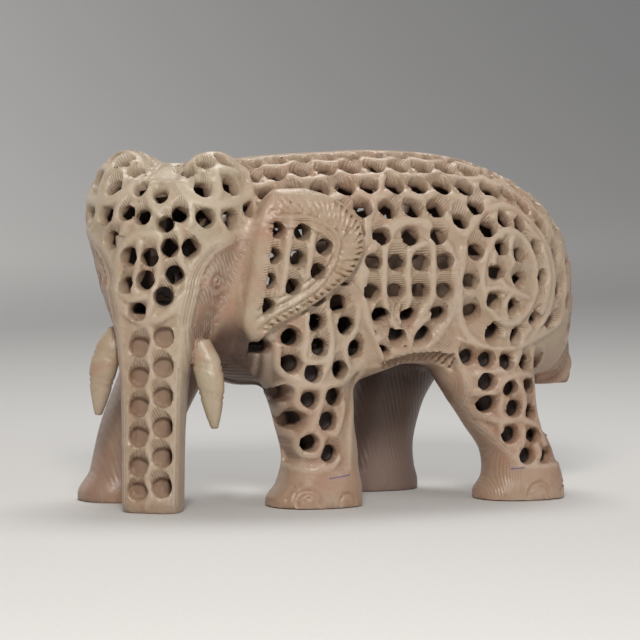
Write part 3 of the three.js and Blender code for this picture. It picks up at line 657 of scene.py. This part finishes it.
def flank_at(x, y, z, side):
    """A point's place on the flank's chart, which rolls round the spine and over the rump."""
    dz = z - SPINE
    dx = np.maximum(x - RUMP, 0)
    yy = y * side
    r = np.sqrt(dx * dx + y * y + dz * dz)
    u = np.where(x < RUMP, x, RUMP + ROUND * np.arctan2(dx, yy))
    v = ROUND * np.where(x < RUMP, np.arctan2(dz, yy), np.arcsin(np.clip(dz / np.maximum(r, 1e-6), -1, 1)))
    return u, v


def head_at(x, y, z):
    """A point on the head's own axes, then its place on the head's chart."""
    hx, hy = turned(x, y, HEAD_AT, HEAD_TURN)
    dz = np.maximum(z - 82, 0)
    r = np.sqrt(hx * hx + hy * hy + dz * dz)
    dome = 82 + 24 * np.arcsin(np.clip(dz / np.maximum(r, 1e-6), -1, 1))
    return hx, hy, 24 * np.arctan2(hy, -hx), np.where(z < 82, z, dome)


def carving(x, y, z, body, head, names="DH"):
    """Reads the charts at flat arrays of points, by the region each lies in."""
    out = {}
    hx, hy, hu, hv = head_at(x, y, z)
    in_head = head < body
    front = in_head & (z >= NECK) & (hx < 16)
    trunk = in_head & (z < NECK) & (hx < -12)
    near = ~in_head & (y < 0)
    far = ~in_head & (y >= 0)
    lf = near & (x > -34) & (x < 4 + 0.45 * (60 - np.clip(z, 44, 66))) & (z < 66) & (y < -16)
    lr = near & (z < knee(x)) & (x > 35) & (x < 79) & (y < -8)
    near_flank = near & ~lf & ~lr & (z > 34) & (x > -34)
    far_flank = far & (z > 40)
    for name in names:
        rest = NO_HOLE if name == "H" else 0.0
        val = np.full(x.shape, rest, F32)
        for mask, side in ((near_flank, -1), (far_flank, 1)):
            u, v = flank_at(x[mask], y[mask], z[mask], side)
            val[mask] = CHARTS["flank"].read(name, u, v, rest)
        if name == "H":
            val[far_flank] = np.minimum(val[far_flank] + FAR_INSET, NO_HOLE)
        val[front] = CHARTS["head"].read(name, hu[front], hv[front], rest)
        val[trunk] = CHARTS["trunk"].read(name, hy[trunk], z[trunk], rest)
        val[lf] = CHARTS["lf"].read(name, x[lf], z[lf], rest)
        val[lr] = CHARTS["lr"].read(name, x[lr], z[lr], rest)
        out[name] = val
    blind = trunk | (front & (z < 58)) | lr | (lf & (z < FLOOR)) | (~in_head & (z < FLOOR + 1))
    out["deepest"] = np.where(blind, np.where(trunk | front, F32(TRUNK_PIT), F32(LEG_PIT)), F32(THROUGH))
    return out


# ---------------------------------------------------------------- carving the block
def carve():
    h = CELL
    low, high = (-84.0, -36.5, -1.6), (91.5, 37.5, 108.0)
    xs, ys, zs = (np.arange(low[i], high[i], h, dtype=F32) for i in range(3))
    shape = (len(xs), len(ys), len(zs))
    X, Y, Z = xs[:, None, None], ys[None, :, None], zs[None, None, :]

    def part(lo, hi):
        cut = tuple(slice(max(int((lo[i] - low[i]) / h), 0),
                          min(int((hi[i] - low[i]) / h) + 1, shape[i])) for i in range(3))
        return cut, X[cut[0]], Y[:, cut[1]], Z[:, :, cut[2]]

    body, head = np.full(shape, 30, F32), np.full(shape, 30, F32)
    cut, x, y, z = part((-52, -37, 28), (92, 37, 108))
    body[cut] = torso_form(x, y, z)
    for table in LEGS:
        (x0, x1), (y0, y1) = ((min(k), max(k)) for k in list(zip(*table))[1:3])
        cut, x, y, z = part((x0 - 28, y0 - 24, -2), (x1 + 28, y1 + 24, 66))
        body[cut] = smin(body[cut], section(z, x, y, table, 2.3, 0, 56), 6)
    cut, x, y, z = part((-84, -36, -2), (-12, 34, 108))
    head[cut] = head_form(x, y, z)
    skin = smin(body, head, 5)

    flat = np.flatnonzero(np.abs(skin.ravel()) < WALL + 5)
    ix, iy, iz = np.unravel_index(flat, shape)
    px, py, pz = xs[ix], ys[iy], zs[iz]
    s = skin.ravel()[flat]
    read = carving(px, py, pz, body.ravel()[flat], head.ravel()[flat])
    seam = step(np.abs(head.ravel()[flat] - body.ravel()[flat]), 0.3, 2.5)
    solid = s + read["D"] * (0.2 + 0.8 * seam)
    pit = np.maximum(read["H"], -(s + read["deepest"]))
    stone = skin.copy()
    stone.ravel()[flat] = solid

    cut, x, y, z = part((-84, -34, FLOOR - 6), (82, 34, 108))
    room = np.maximum(hollow_form(x, y, z), -calf_form(x, y, z))
    stone[cut] = np.maximum(stone[cut], -room)
    stone.ravel()[flat] = np.maximum(stone.ravel()[flat], -pit)

    # tail and tuft, tusks
    cut, x, y, z = part((64, -9, 29), (91, 9, 94))
    tail = section(z, x, y, TAIL, 4, 36, 88)
    stone[cut] = np.minimum(stone[cut], tail)
    tuft = section(z, x, y, TUFT, 4, 33, 50)
    curl = np.hypot(x - 78, z - 44)
    tuft = tuft + 1.5 * (0.5 + 0.5 * np.cos(curl * 2 * math.pi / 4.4)) * (np.abs(y) > 1.5)
    stone[cut] = np.minimum(stone[cut], tuft)
    for side, tip in TUSK_TIPS:
        at = headward(-15, side * 16)
        cut, x, y, z = part((at[0] - 14, at[1] - 14, tip - 2), (at[0] + 14, at[1] + 14, tip + 32))
        hx, hy = turned(x, y, HEAD_AT, HEAD_TURN)
        table = [(r[0] + tip, r[1], side * r[2], *r[3:]) for r in TUSK]
        tusk = section(z, hx, hy, table, 2.4, tip, tip + 26)
        for level in (9.0, 10.6, 17.6, 19.2):
            tusk = tusk + 0.4 * (1 - step(np.abs(z - tip - level - 0.18 * (hy - side * 16)), 0.15, 0.6))
        stone[cut] = np.minimum(stone[cut], tusk)

    # ears, then the holes drilled through them
    for ex, ey, turn, side in EARS:
        outer = ey + side * 26
        cut, x, y, z = part((ex - 12, min(ey - 8, outer) - 6, 44), (ex + 46, max(ey + 8, outer) + 6, 102))
        u, w = turned(x, y, (ex, ey), turn)
        uu, ww, zz = np.broadcast_arrays(u, w, z)
        ear = ear_form(uu, ww, zz, side)
        face = (np.abs(ear) < 3.5) & (ww * side > 0)
        depth = np.zeros(ear.shape, F32)
        depth[face] = CHARTS["ear"].read("D", uu[face], zz[face])
        ear = ear + depth
        soft = 5.0 * (1 - step(uu, 0, 8)) + 0.01
        mixed = smin(stone[cut], ear, soft)
        drilled = np.maximum(CHARTS["ear"].read("H", uu, zz, NO_HOLE), np.abs(ww) - 11.5)
        stone[cut] = np.maximum(mixed, -drilled)
    return stone, low, h


def headward(x, y):
    """A place given on the head's axes, in the body's."""
    t = math.radians(HEAD_TURN)
    return HEAD_AT[0] + x * math.cos(t) - y * math.sin(t), HEAD_AT[1] + x * math.sin(t) + y * math.cos(t)


def surface(field, origin, h):
    """Surface nets: one vertex in each cell that the surface crosses, and a quad for each edge it crosses."""
    inside = field < 0
    nx, ny, nz = field.shape
    count = np.zeros((nx - 1, ny - 1, nz - 1), np.uint8)
    for i in (0, 1):
        for j in (0, 1):
            for k in (0, 1):
                count += inside[i:nx - 1 + i, j:ny - 1 + j, k:nz - 1 + k]
    active = (count > 0) & (count < 8)
    cells = np.argwhere(active)
    index = np.full(active.shape, -1, np.int32)
    index[active] = np.arange(len(cells), dtype=np.int32)
    ci, cj, ck = cells.T
    corner = {(i, j, k): field[ci + i, cj + j, ck + k] for i in (0, 1) for j in (0, 1) for k in (0, 1)}
    total = np.zeros((len(cells), 3), F32)
    number = np.zeros(len(cells), F32)
    for axis in range(3):
        o = [a for a in range(3) if a != axis]
        for a in (0, 1):
            for b in (0, 1):
                p = [0, 0, 0]
                p[o[0]], p[o[1]] = a, b
                q = list(p)
                q[axis] = 1
                f0, f1 = corner[tuple(p)], corner[tuple(q)]
                crossed = (f0 < 0) != (f1 < 0)
                t = np.where(crossed, f0 / np.where(crossed, f0 - f1, 1), 0)
                for n in range(3):
                    total[:, n] += crossed * (p[n] + (t if n == axis else 0))
                number += crossed
    verts = (cells + total / number[:, None]) * h + np.asarray(origin)
    quads = []
    for axis in range(3):
        o = [a for a in range(3) if a != axis]
        s0, s1 = [slice(None)] * 3, [slice(None)] * 3
        s0[axis], s1[axis] = slice(0, -1), slice(1, None)
        g = np.argwhere(inside[tuple(s0)] != inside[tuple(s1)])
        ends = np.array([field.shape[n] - 1 for n in o])
        g = g[((g[:, o] > 0) & (g[:, o] < ends)).all(1)]

        def cell(a, b):
            t = g.copy()
            t[:, o[0]] -= a
            t[:, o[1]] -= b
            return index[t[:, 0], t[:, 1], t[:, 2]]

        q = np.stack([cell(0, 0), cell(1, 0), cell(1, 1), cell(0, 1)], 1)
        neg = inside[g[:, 0], g[:, 1], g[:, 2]]
        flip = ~neg if axis == 1 else neg
        quads.append(np.where(flip[:, None], q, q[:, ::-1]))
    return verts, np.vstack(quads)


def main_body(verts, quads):
    """Keeps the one connected stone and drops any loose crumb."""
    root = np.arange(len(verts))
    for _ in range(200):
        low = root[quads].min(1)
        new = root.copy()
        for k in range(4):
            np.minimum.at(new, quads[:, k], low)
        new = new[new]
        if (new == root).all():
            break
        root = new
    values, counts = np.unique(root, return_counts=True)
    keep = root == values[counts.argmax()]
    renumber = np.cumsum(keep) - 1
    return verts[keep], renumber[quads[keep[quads[:, 0]]]]


def to_mesh(name, verts, quads):
    mesh = bpy.data.meshes.new(name)
    mesh.vertices.add(len(verts))
    mesh.vertices.foreach_set("co", np.asarray(verts, F32).ravel())
    mesh.loops.add(quads.size)
    mesh.loops.foreach_set("vertex_index", quads.astype(np.int32).ravel())
    mesh.polygons.add(len(quads))
    mesh.polygons.foreach_set("loop_start", np.arange(0, quads.size, 4, dtype=np.int32))
    mesh.update(calc_edges=True)
    mesh.validate()
    return mesh


verts, quads = main_body(*surface(*carve()))
verts = (verts + np.array(SHIFT)) / 1000
elephant = bpy.data.objects.new("carved_elephant_stone", to_mesh("carved_elephant_stone", verts, quads))
bpy.context.scene.collection.objects.link(elephant)
# thinned to the triangle limit, a little harder inside the hollow
thin = elephant.modifiers.new("thin", "DECIMATE")
thin.ratio = min(1.0, TRIANGLES / (2 * len(quads)))
local = verts * 1000 - np.array(SHIFT)
unseen = elephant.vertex_groups.new(name="unseen")
hidden = hollow_form(*local.T.astype(F32)) < 1.2
unseen.add(np.flatnonzero(hidden).tolist(), 1.0, "REPLACE")
unseen.add(np.flatnonzero(~hidden).tolist(), 0.8, "REPLACE")
thin.vertex_group, thin.vertex_group_factor, thin.invert_vertex_group = "unseen", 1.0, False
bpy.context.view_layer.update()
thinned = bpy.data.meshes.new_from_object(elephant.evaluated_get(bpy.context.evaluated_depsgraph_get()))
elephant.modifiers.clear()
elephant.data = thinned
elephant.data.name = "carved_elephant_stone"
mesh = elephant.data

# surface facts the stone's material reads, at each vertex
co = np.zeros(len(mesh.vertices) * 3, F32)
mesh.vertices.foreach_get("co", co)
p = co.reshape(-1, 3) * 1000 - np.array(SHIFT, F32)
px, py, pz = p.T
body, head = body_form(px, py, pz), head_form(px, py, pz)
skin = smin(body, head, 5)
facts = carving(px, py, pz, body, head, "PML")
deep = -skin
for ex, ey, turn, side in EARS:
    u, w = turned(px, py, (ex, ey), turn)
    ear = ear_form(u, w, pz, side)
    on = (ear < 0.6) & (ear > -3.0) & (w * side > 0)
    deep = np.where(on, np.minimum(deep, -ear), deep)
    for k in "PML":
        facts[k] = np.where(on, CHARTS["ear"].read(k, u, pz), facts[k])
tail = (px > 70) & (np.abs(py) < 6) & (pz < 90) & (skin > 0.3)
facts["P"] = np.where(tail, pz + 0.25 * px, facts["P"])
facts["M"] = np.where(tail, 0.8, facts["M"])
chest = (body < head) & (px < -20) & (py < 4) & (py > -15) & (pz < FLOOR + 3) & (pz > 26)
facts["P"] = np.where(chest, pz * 0.7, facts["P"])
facts["M"] = np.where(chest, 0.7, facts["M"])
right_legs = (py > 3) & (pz < 44) & (body < head)
facts["P"] = np.where(right_legs, px * 0.55 + 0.1 * pz, facts["P"])
facts["M"] = np.where(right_legs, 0.45 * step(pz, 3, 9), facts["M"])
facts["M"] = np.where(deep > 3.0, 0, facts["M"])
behind = step(body - head, 0, -4)
# painted shade: the far side's legs and lower flank go plum-grey and darker, most from the middle to the rear
right_side = step(py, 1, 9) * (1 - step(pz, 40, 58)) * behind
far_side_shade = right_side * (0.36 + 0.64 * step(px, -8, 6))
throat = (step(px + 0.5 * (pz - 40), -14, -22) * step(pz, 24, 32) * (1 - step(pz, 50, 60))
          * step(py, -28, -22) * (1 - step(py, 2, 10)))
under = ((1 - step(np.abs(py), 14, 25)) * step(pz, 26, 38) * (1 - step(pz, 41, 47))
         * step(px, -24, -12) * (1 - step(px, 52, 66)))
shade = behind * np.maximum(throat, under)
hx, hy, hu, hv = head_at(px, py, pz)
bound = np.interp(hv, (43, 57, 65, 72, 77.4, 80.6, 83.2, 88), (8.4, 8.8, 10.4, 13, 17.6, 24.6, 31.6, 37))
tusk = (skin > 0.8) & (pz > 22) & (pz < 60) & (hx < -8) & (np.abs(hy) > 9) & (deep < 3)
cheek = np.where((head < body) & (deep < 2) & (hv < 88) & ~tusk, step(np.abs(hu) - bound, 3.4, 4.6), 0)
calf = 1 - step(np.where(deep > 3.4, calf_form(px, py, pz), 9.0), 0.3, 1.2)
pale = np.maximum(1 - step(head - body, -6, 2), 0) * step(pz, 4, 14) * (1 - 0.7 * cheek) + tusk
facts["M"] = np.where(tusk, 0, facts["M"])
ends = np.zeros(len(mesh.edges) * 2, np.int32)
mesh.edges.foreach_get("vertices", ends)
ends = ends.reshape(-1, 2)
one, two = ends.T
jump, span = np.abs(facts["P"][one] - facts["P"][two]), np.linalg.norm(p[one] - p[two], axis=1)
facts["M"][ends[jump > 1.35 * span + 0.05].ravel()] = 0    # no chisel lines where their phase jumps
layers = {"deep": deep, "line": facts["P"], "hatch": facts["M"], "rib": facts["L"], "calf": calf,
          "pale": pale, "far_side_shade": far_side_shade, "shade": shade, "cheek": cheek}
for name, value in layers.items():
    mesh.attributes.new(name, "FLOAT", "POINT").data.foreach_set("value", np.asarray(value, F32))
mesh.shade_smooth()
mesh.set_sharp_from_angle(angle=math.radians(60))
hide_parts("carved_elephant")
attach(elephant, "root")


# ---------------------------------------------------------------- material
class Nodes:
    def __init__(self, name):
        self.mat = bpy.data.materials.new(name)
        self.mat.use_nodes = True
        self.tree = self.mat.node_tree
        self.shader = self.tree.nodes["Principled BSDF"]

    def add(self, kind, inputs=(), **props):
        n = self.tree.nodes.new(kind)
        for k, v in props.items():
            setattr(n, k, v)
        for k, v in dict(inputs).items():
            self.set(n.inputs[k], v)
        return n

    def set(self, socket, value):
        if isinstance(value, bpy.types.NodeSocket):
            self.tree.links.new(value, socket)
        else:
            socket.default_value = value

    def math(self, op, a, b=0.0, c=0.0, clamp=False):
        n = self.add("ShaderNodeMath", operation=op, use_clamp=clamp)
        for i, v in enumerate((a, b, c)):
            self.set(n.inputs[i], v)
        return n.outputs[0]

    def noise(self, at, scale, detail=4.0, rough=0.55, warp=0.0):
        n = self.add("ShaderNodeTexNoise",
                     {"Vector": at, "Scale": scale, "Detail": detail, "Roughness": rough, "Distortion": warp})
        return n.outputs["Fac"]

    def ramp(self, fac, *stops):
        n = self.add("ShaderNodeValToRGB", {"Fac": fac})
        e = n.color_ramp.elements
        while len(e) < len(stops):
            e.new(0.5)
        for el, (at, col) in zip(e, stops):
            el.position = at
            el.color = (*col, 1) if isinstance(col, tuple) else (col, col, col, 1)
        return n.outputs["Color"]

    def mix(self, fac, a, b, blend="MIX"):
        n = self.add("ShaderNodeMix", data_type="RGBA", blend_type=blend)
        self.set(n.inputs["Factor"], fac)
        for k, v in ((6, a), (7, b)):
            self.set(n.inputs[k], (*v, 1) if isinstance(v, tuple) else v)
        return n.outputs[2]

    def tint(self, under, amount, strength, colour):
        return self.mix(self.math("MULTIPLY", amount, strength), under, colour)

    def attr(self, name):
        return self.add("ShaderNodeAttribute", attribute_name=name).outputs["Fac"]


def soapstone():
    m = Nodes("soapstone")
    at = m.add("ShaderNodeTexCoord").outputs["Object"]
    deep, line, hatch, rib, calf, pale, far_side_shade, shade, cheek = (m.attr(name) for name in layers)
    split = m.add("ShaderNodeSeparateXYZ", {"Vector": at})
    z = split.outputs["Z"]
    broad = m.noise(at, 22, 3, 0.5, 0.7)
    patch = m.noise(at, 75, 4, 0.6, 0.8)
    # cream on the head, trunk and upper flank, pinkish brown on ear, legs and rump
    warm = m.math("MULTIPLY_ADD", broad, 2.4, -0.72)
    warm = m.math("ADD", warm, m.math("MULTIPLY_ADD", z, -5.0, 0.36))
    warm = m.math("SUBTRACT", warm, m.math("MULTIPLY", pale, 0.30), clamp=True)
    tone = m.mix(warm, (0.435, 0.358, 0.246), (0.39, 0.228, 0.147))
    tone = m.mix(m.math("MULTIPLY", m.ramp(patch, (0.42, 0.0), (0.7, 1.0)), 0.45), tone, (0.47, 0.385, 0.295))
    blush = m.ramp(m.noise(at, 48, 5, 0.6, 1.6), (0.54, 0.0), (0.68, 1.0))
    tone = m.tint(tone, blush, 0.42, (0.40, 0.185, 0.115))
    vein = m.ramp(m.noise(at, 30, 6, 0.62, 2.0), (0.475, 0.0), (0.5, 1.0), (0.525, 0.0))
    tone = m.tint(tone, vein, 0.16, (0.30, 0.15, 0.10))
    grain = m.noise(at, 1100, 3, 0.6)
    tone = m.tint(tone, grain, 0.30, (0.24, 0.165, 0.12))
    tone = m.tint(tone, cheek, 0.62, (0.29, 0.165, 0.115))
    # painted shade on the far side's legs and lower flank, plum-grey
    tone = m.tint(tone, far_side_shade, 0.80, (0.150, 0.098, 0.088))
    tone = m.tint(tone, shade, 0.86, (0.075, 0.045, 0.036))
    tone = m.tint(tone, rib, 0.42, (0.57, 0.465, 0.36))
    # scoops: a little darker with depth, from rubbed-in dust and painted shade; drilled walls: painted shade,
    # dark rust-brown deeper in; hollow: painted shade, near black
    dust_and_shade = m.math("MULTIPLY_ADD", deep, 0.34, -0.18, clamp=True)
    tone = m.tint(tone, dust_and_shade, 0.42, (0.27, 0.155, 0.098))
    hole_shade = m.math("MULTIPLY_ADD", deep, 0.5, -1.0, clamp=True)
    tone = m.tint(tone, hole_shade, 0.62, (0.175, 0.092, 0.056))
    room = m.math("MULTIPLY_ADD", deep, 0.9, -3.0, clamp=True)
    tone = m.tint(tone, room, 0.97, (0.022, 0.012, 0.009))
    tone = m.mix(calf, tone, (0.30, 0.195, 0.13))
    turns = m.math("MULTIPLY", line, 2 * math.pi / HATCH_PITCH)
    groove = m.math("MULTIPLY_ADD", m.math("SINE", turns), 0.5, 0.5)
    cut = m.math("MULTIPLY", groove, hatch)
    tone = m.tint(tone, cut, 0.30, (0.17, 0.10, 0.068))
    # clusters of short strokes on the cheeks, a ringed eye, and two faint violet pen marks on the feet
    strokes = m.add("ShaderNodeTexWave", {"Vector": at, "Scale": 300.0, "Distortion": 2.4, "Detail": 2.0,
                                          "Detail Scale": 0.6}, bands_direction="DIAGONAL").outputs["Fac"]
    cluster = m.ramp(m.noise(at, 210, 1, 0.4), (0.50, 0.0), (0.56, 1.0))
    strokes = m.ramp(strokes, (0.55, 0.0), (0.8, 1.0))
    strokes = m.math("MULTIPLY", m.math("MULTIPLY", strokes, cluster), cheek)
    rings = None
    for side in (-1, 1):
        eye = headward(-18.6, side * 21.0)
        away = m.add("ShaderNodeVectorMath", {0: at}, operation="DISTANCE")
        away.inputs[1].default_value = ((eye[0] + SHIFT[0]) / 1000, (eye[1] + SHIFT[1]) / 1000, 0.0672)
        ring = m.ramp(m.math("MULTIPLY", away.outputs["Value"], 100.0), (0.0, 0.0), (0.07, 0.0), (0.10, 1.0),
                      (0.14, 0.0), (0.20, 0.0), (0.235, 1.0), (0.27, 0.0))
        rings = ring if rings is None else m.math("MAXIMUM", rings, ring)
    rings = m.math("MULTIPLY", rings, cheek)
    strokes = m.math("MAXIMUM", strokes, rings)
    tone = m.tint(tone, strokes, 0.42, (0.60, 0.53, 0.44))
    x = split.outputs["X"]
    for px0, px1, height in ((-0.0150, -0.0078, 0.0108), (0.0460, 0.0500, 0.0042)):
        run = m.math("MULTIPLY", m.math("GREATER_THAN", x, px0), m.math("LESS_THAN", x, px1))
        off = m.math("ABSOLUTE", m.math("SUBTRACT", m.math("MULTIPLY_ADD", x, 0.12, height), z))
        near = m.math("LESS_THAN", off, 0.00024)
        near = m.math("MULTIPLY", near, m.math("LESS_THAN", split.outputs["Y"], 0.0))
        tone = m.mix(m.math("MULTIPLY", m.math("MULTIPLY", run, near), 0.7), tone, (0.10, 0.05, 0.20))
    m.set(m.shader.inputs["Base Color"], tone)
    rough = m.math("MULTIPLY_ADD", patch, 0.24, 0.22)
    rough = m.math("ADD", rough, m.math("MULTIPLY", dust_and_shade, 0.26))
    rough = m.math("ADD", rough, m.math("MULTIPLY", grain, 0.10), clamp=True)
    m.set(m.shader.inputs["Roughness"], rough)
    m.shader.inputs["Specular IOR Level"].default_value = 0.55
    b1 = m.add("ShaderNodeBump", {"Height": cut, "Strength": 0.7, "Distance": 0.0002}, invert=True)
    tool = m.noise(at, 380, 4, 0.6, 0.4)
    b2 = m.add("ShaderNodeBump", {"Height": tool, "Strength": 0.75, "Distance": 0.0003,
                                  "Normal": b1.outputs["Normal"]})
    b3 = m.add("ShaderNodeBump", {"Height": strokes, "Strength": 0.9, "Distance": 0.0003,
                                  "Normal": b2.outputs["Normal"]}, invert=True)
    m.set(m.shader.inputs["Normal"], b3.outputs["Normal"])
    return m.mat


elephant.data.materials.clear()
elephant.data.materials.append(soapstone())

# ---------------------------------------------------------------- floor, light, camera
COVE = 1.2                             # radius of the floor's curve up into the backdrop, m
cove = [(COVE + COVE * math.sin(t), COVE - COVE * math.cos(t)) for t in np.linspace(0.1, math.pi / 2, 16)]
rows = [(-3.0, 0.0), (COVE, 0.0), *cove, (2 * COVE, 4.0)]
cover = bpy.data.meshes.new("floor")
turn = math.radians(25)
cover.from_pydata([(x * math.cos(turn) - y * math.sin(turn), x * math.sin(turn) + y * math.cos(turn), z)
                   for y, z in rows for x in (-4.0, 4.0)], [],
                  [(2 * i, 2 * i + 1, 2 * i + 3, 2 * i + 2) for i in range(len(rows) - 1)])
cover.shade_smooth()
floor = bpy.data.objects.new("floor", cover)
bpy.context.scene.collection.objects.link(floor)
ground = Nodes("floor_paper")
paper = ground.noise(ground.add("ShaderNodeTexCoord").outputs["Object"], 900, 3, 0.6)
ground.set(ground.shader.inputs["Base Color"],
           ground.ramp(paper, (0.3, (0.60, 0.585, 0.56)), (0.7, (0.64, 0.625, 0.60))))
ground.set(ground.shader.inputs["Roughness"], ground.math("MULTIPLY_ADD", paper, 0.1, 0.8))
floor.data.materials.append(ground.mat)

world = bpy.data.worlds.new("studio")
bpy.context.scene.world = world
world.use_nodes = True
world.node_tree.nodes["Background"].inputs["Color"].default_value = (0.92, 0.94, 1.0, 1)
world.node_tree.nodes["Background"].inputs["Strength"].default_value = 0.26


def lamp(name, place, aim, size, power, colour):
    data = bpy.data.lights.new(name, "AREA")
    data.shape, data.size, data.energy, data.color = "SQUARE", size, power, colour
    ob = bpy.data.objects.new(name, data)
    bpy.context.scene.collection.objects.link(ob)
    ob.location = place
    ob.rotation_euler = (Vector(aim) - Vector(place)).to_track_quat("-Z", "Y").to_euler()


lamp("key", (-0.36, -0.70, 0.56), (0, 0, 0.05), 0.20, 5.6, (1.0, 0.97, 0.93))
lamp("fill", (0.5, -0.8, 0.26), (0, 0, 0.06), 0.45, 1.2, (0.98, 0.98, 1.0))
lamp("top", (0.15, 0.2, 0.75), (0, 0, 0.07), 0.35, 3.0, (1, 1, 1))
lamp("backdrop", (-0.45, 1.1, 1.5), (-0.95, 2.4, 1.0), 1.0, 34, (1, 1, 1))

YAW, PITCH, ROLL, REACH = math.radians(-25), math.radians(3.6), math.radians(0.6), 1.1
LENS = 204.1875                        # focal length, mm
back = Vector((math.sin(YAW) * math.cos(PITCH), -math.cos(YAW) * math.cos(PITCH), math.sin(PITCH)))
aim = Vector((3.0 + SHIFT[0], SHIFT[1], 54.0)) / 1000
right = (-back).cross(Vector((0, 0, 1))).normalized()
up = right.cross(-back)
right, up = right * math.cos(ROLL) + up * math.sin(ROLL), -right * math.sin(ROLL) + up * math.cos(ROLL)
camera = bpy.data.objects.new("camera", bpy.data.cameras.new("camera"))
bpy.context.scene.collection.objects.link(camera)
camera.matrix_world = Matrix((right, up, back)).transposed().to_4x4()
camera.location = aim + back * REACH
camera.data.sensor_width = 36
camera.data.lens = LENS
camera.data.clip_start, camera.data.clip_end = 0.05, 20
bpy.context.scene.camera = camera
bpy.context.scene.view_settings.view_transform = "Standard"
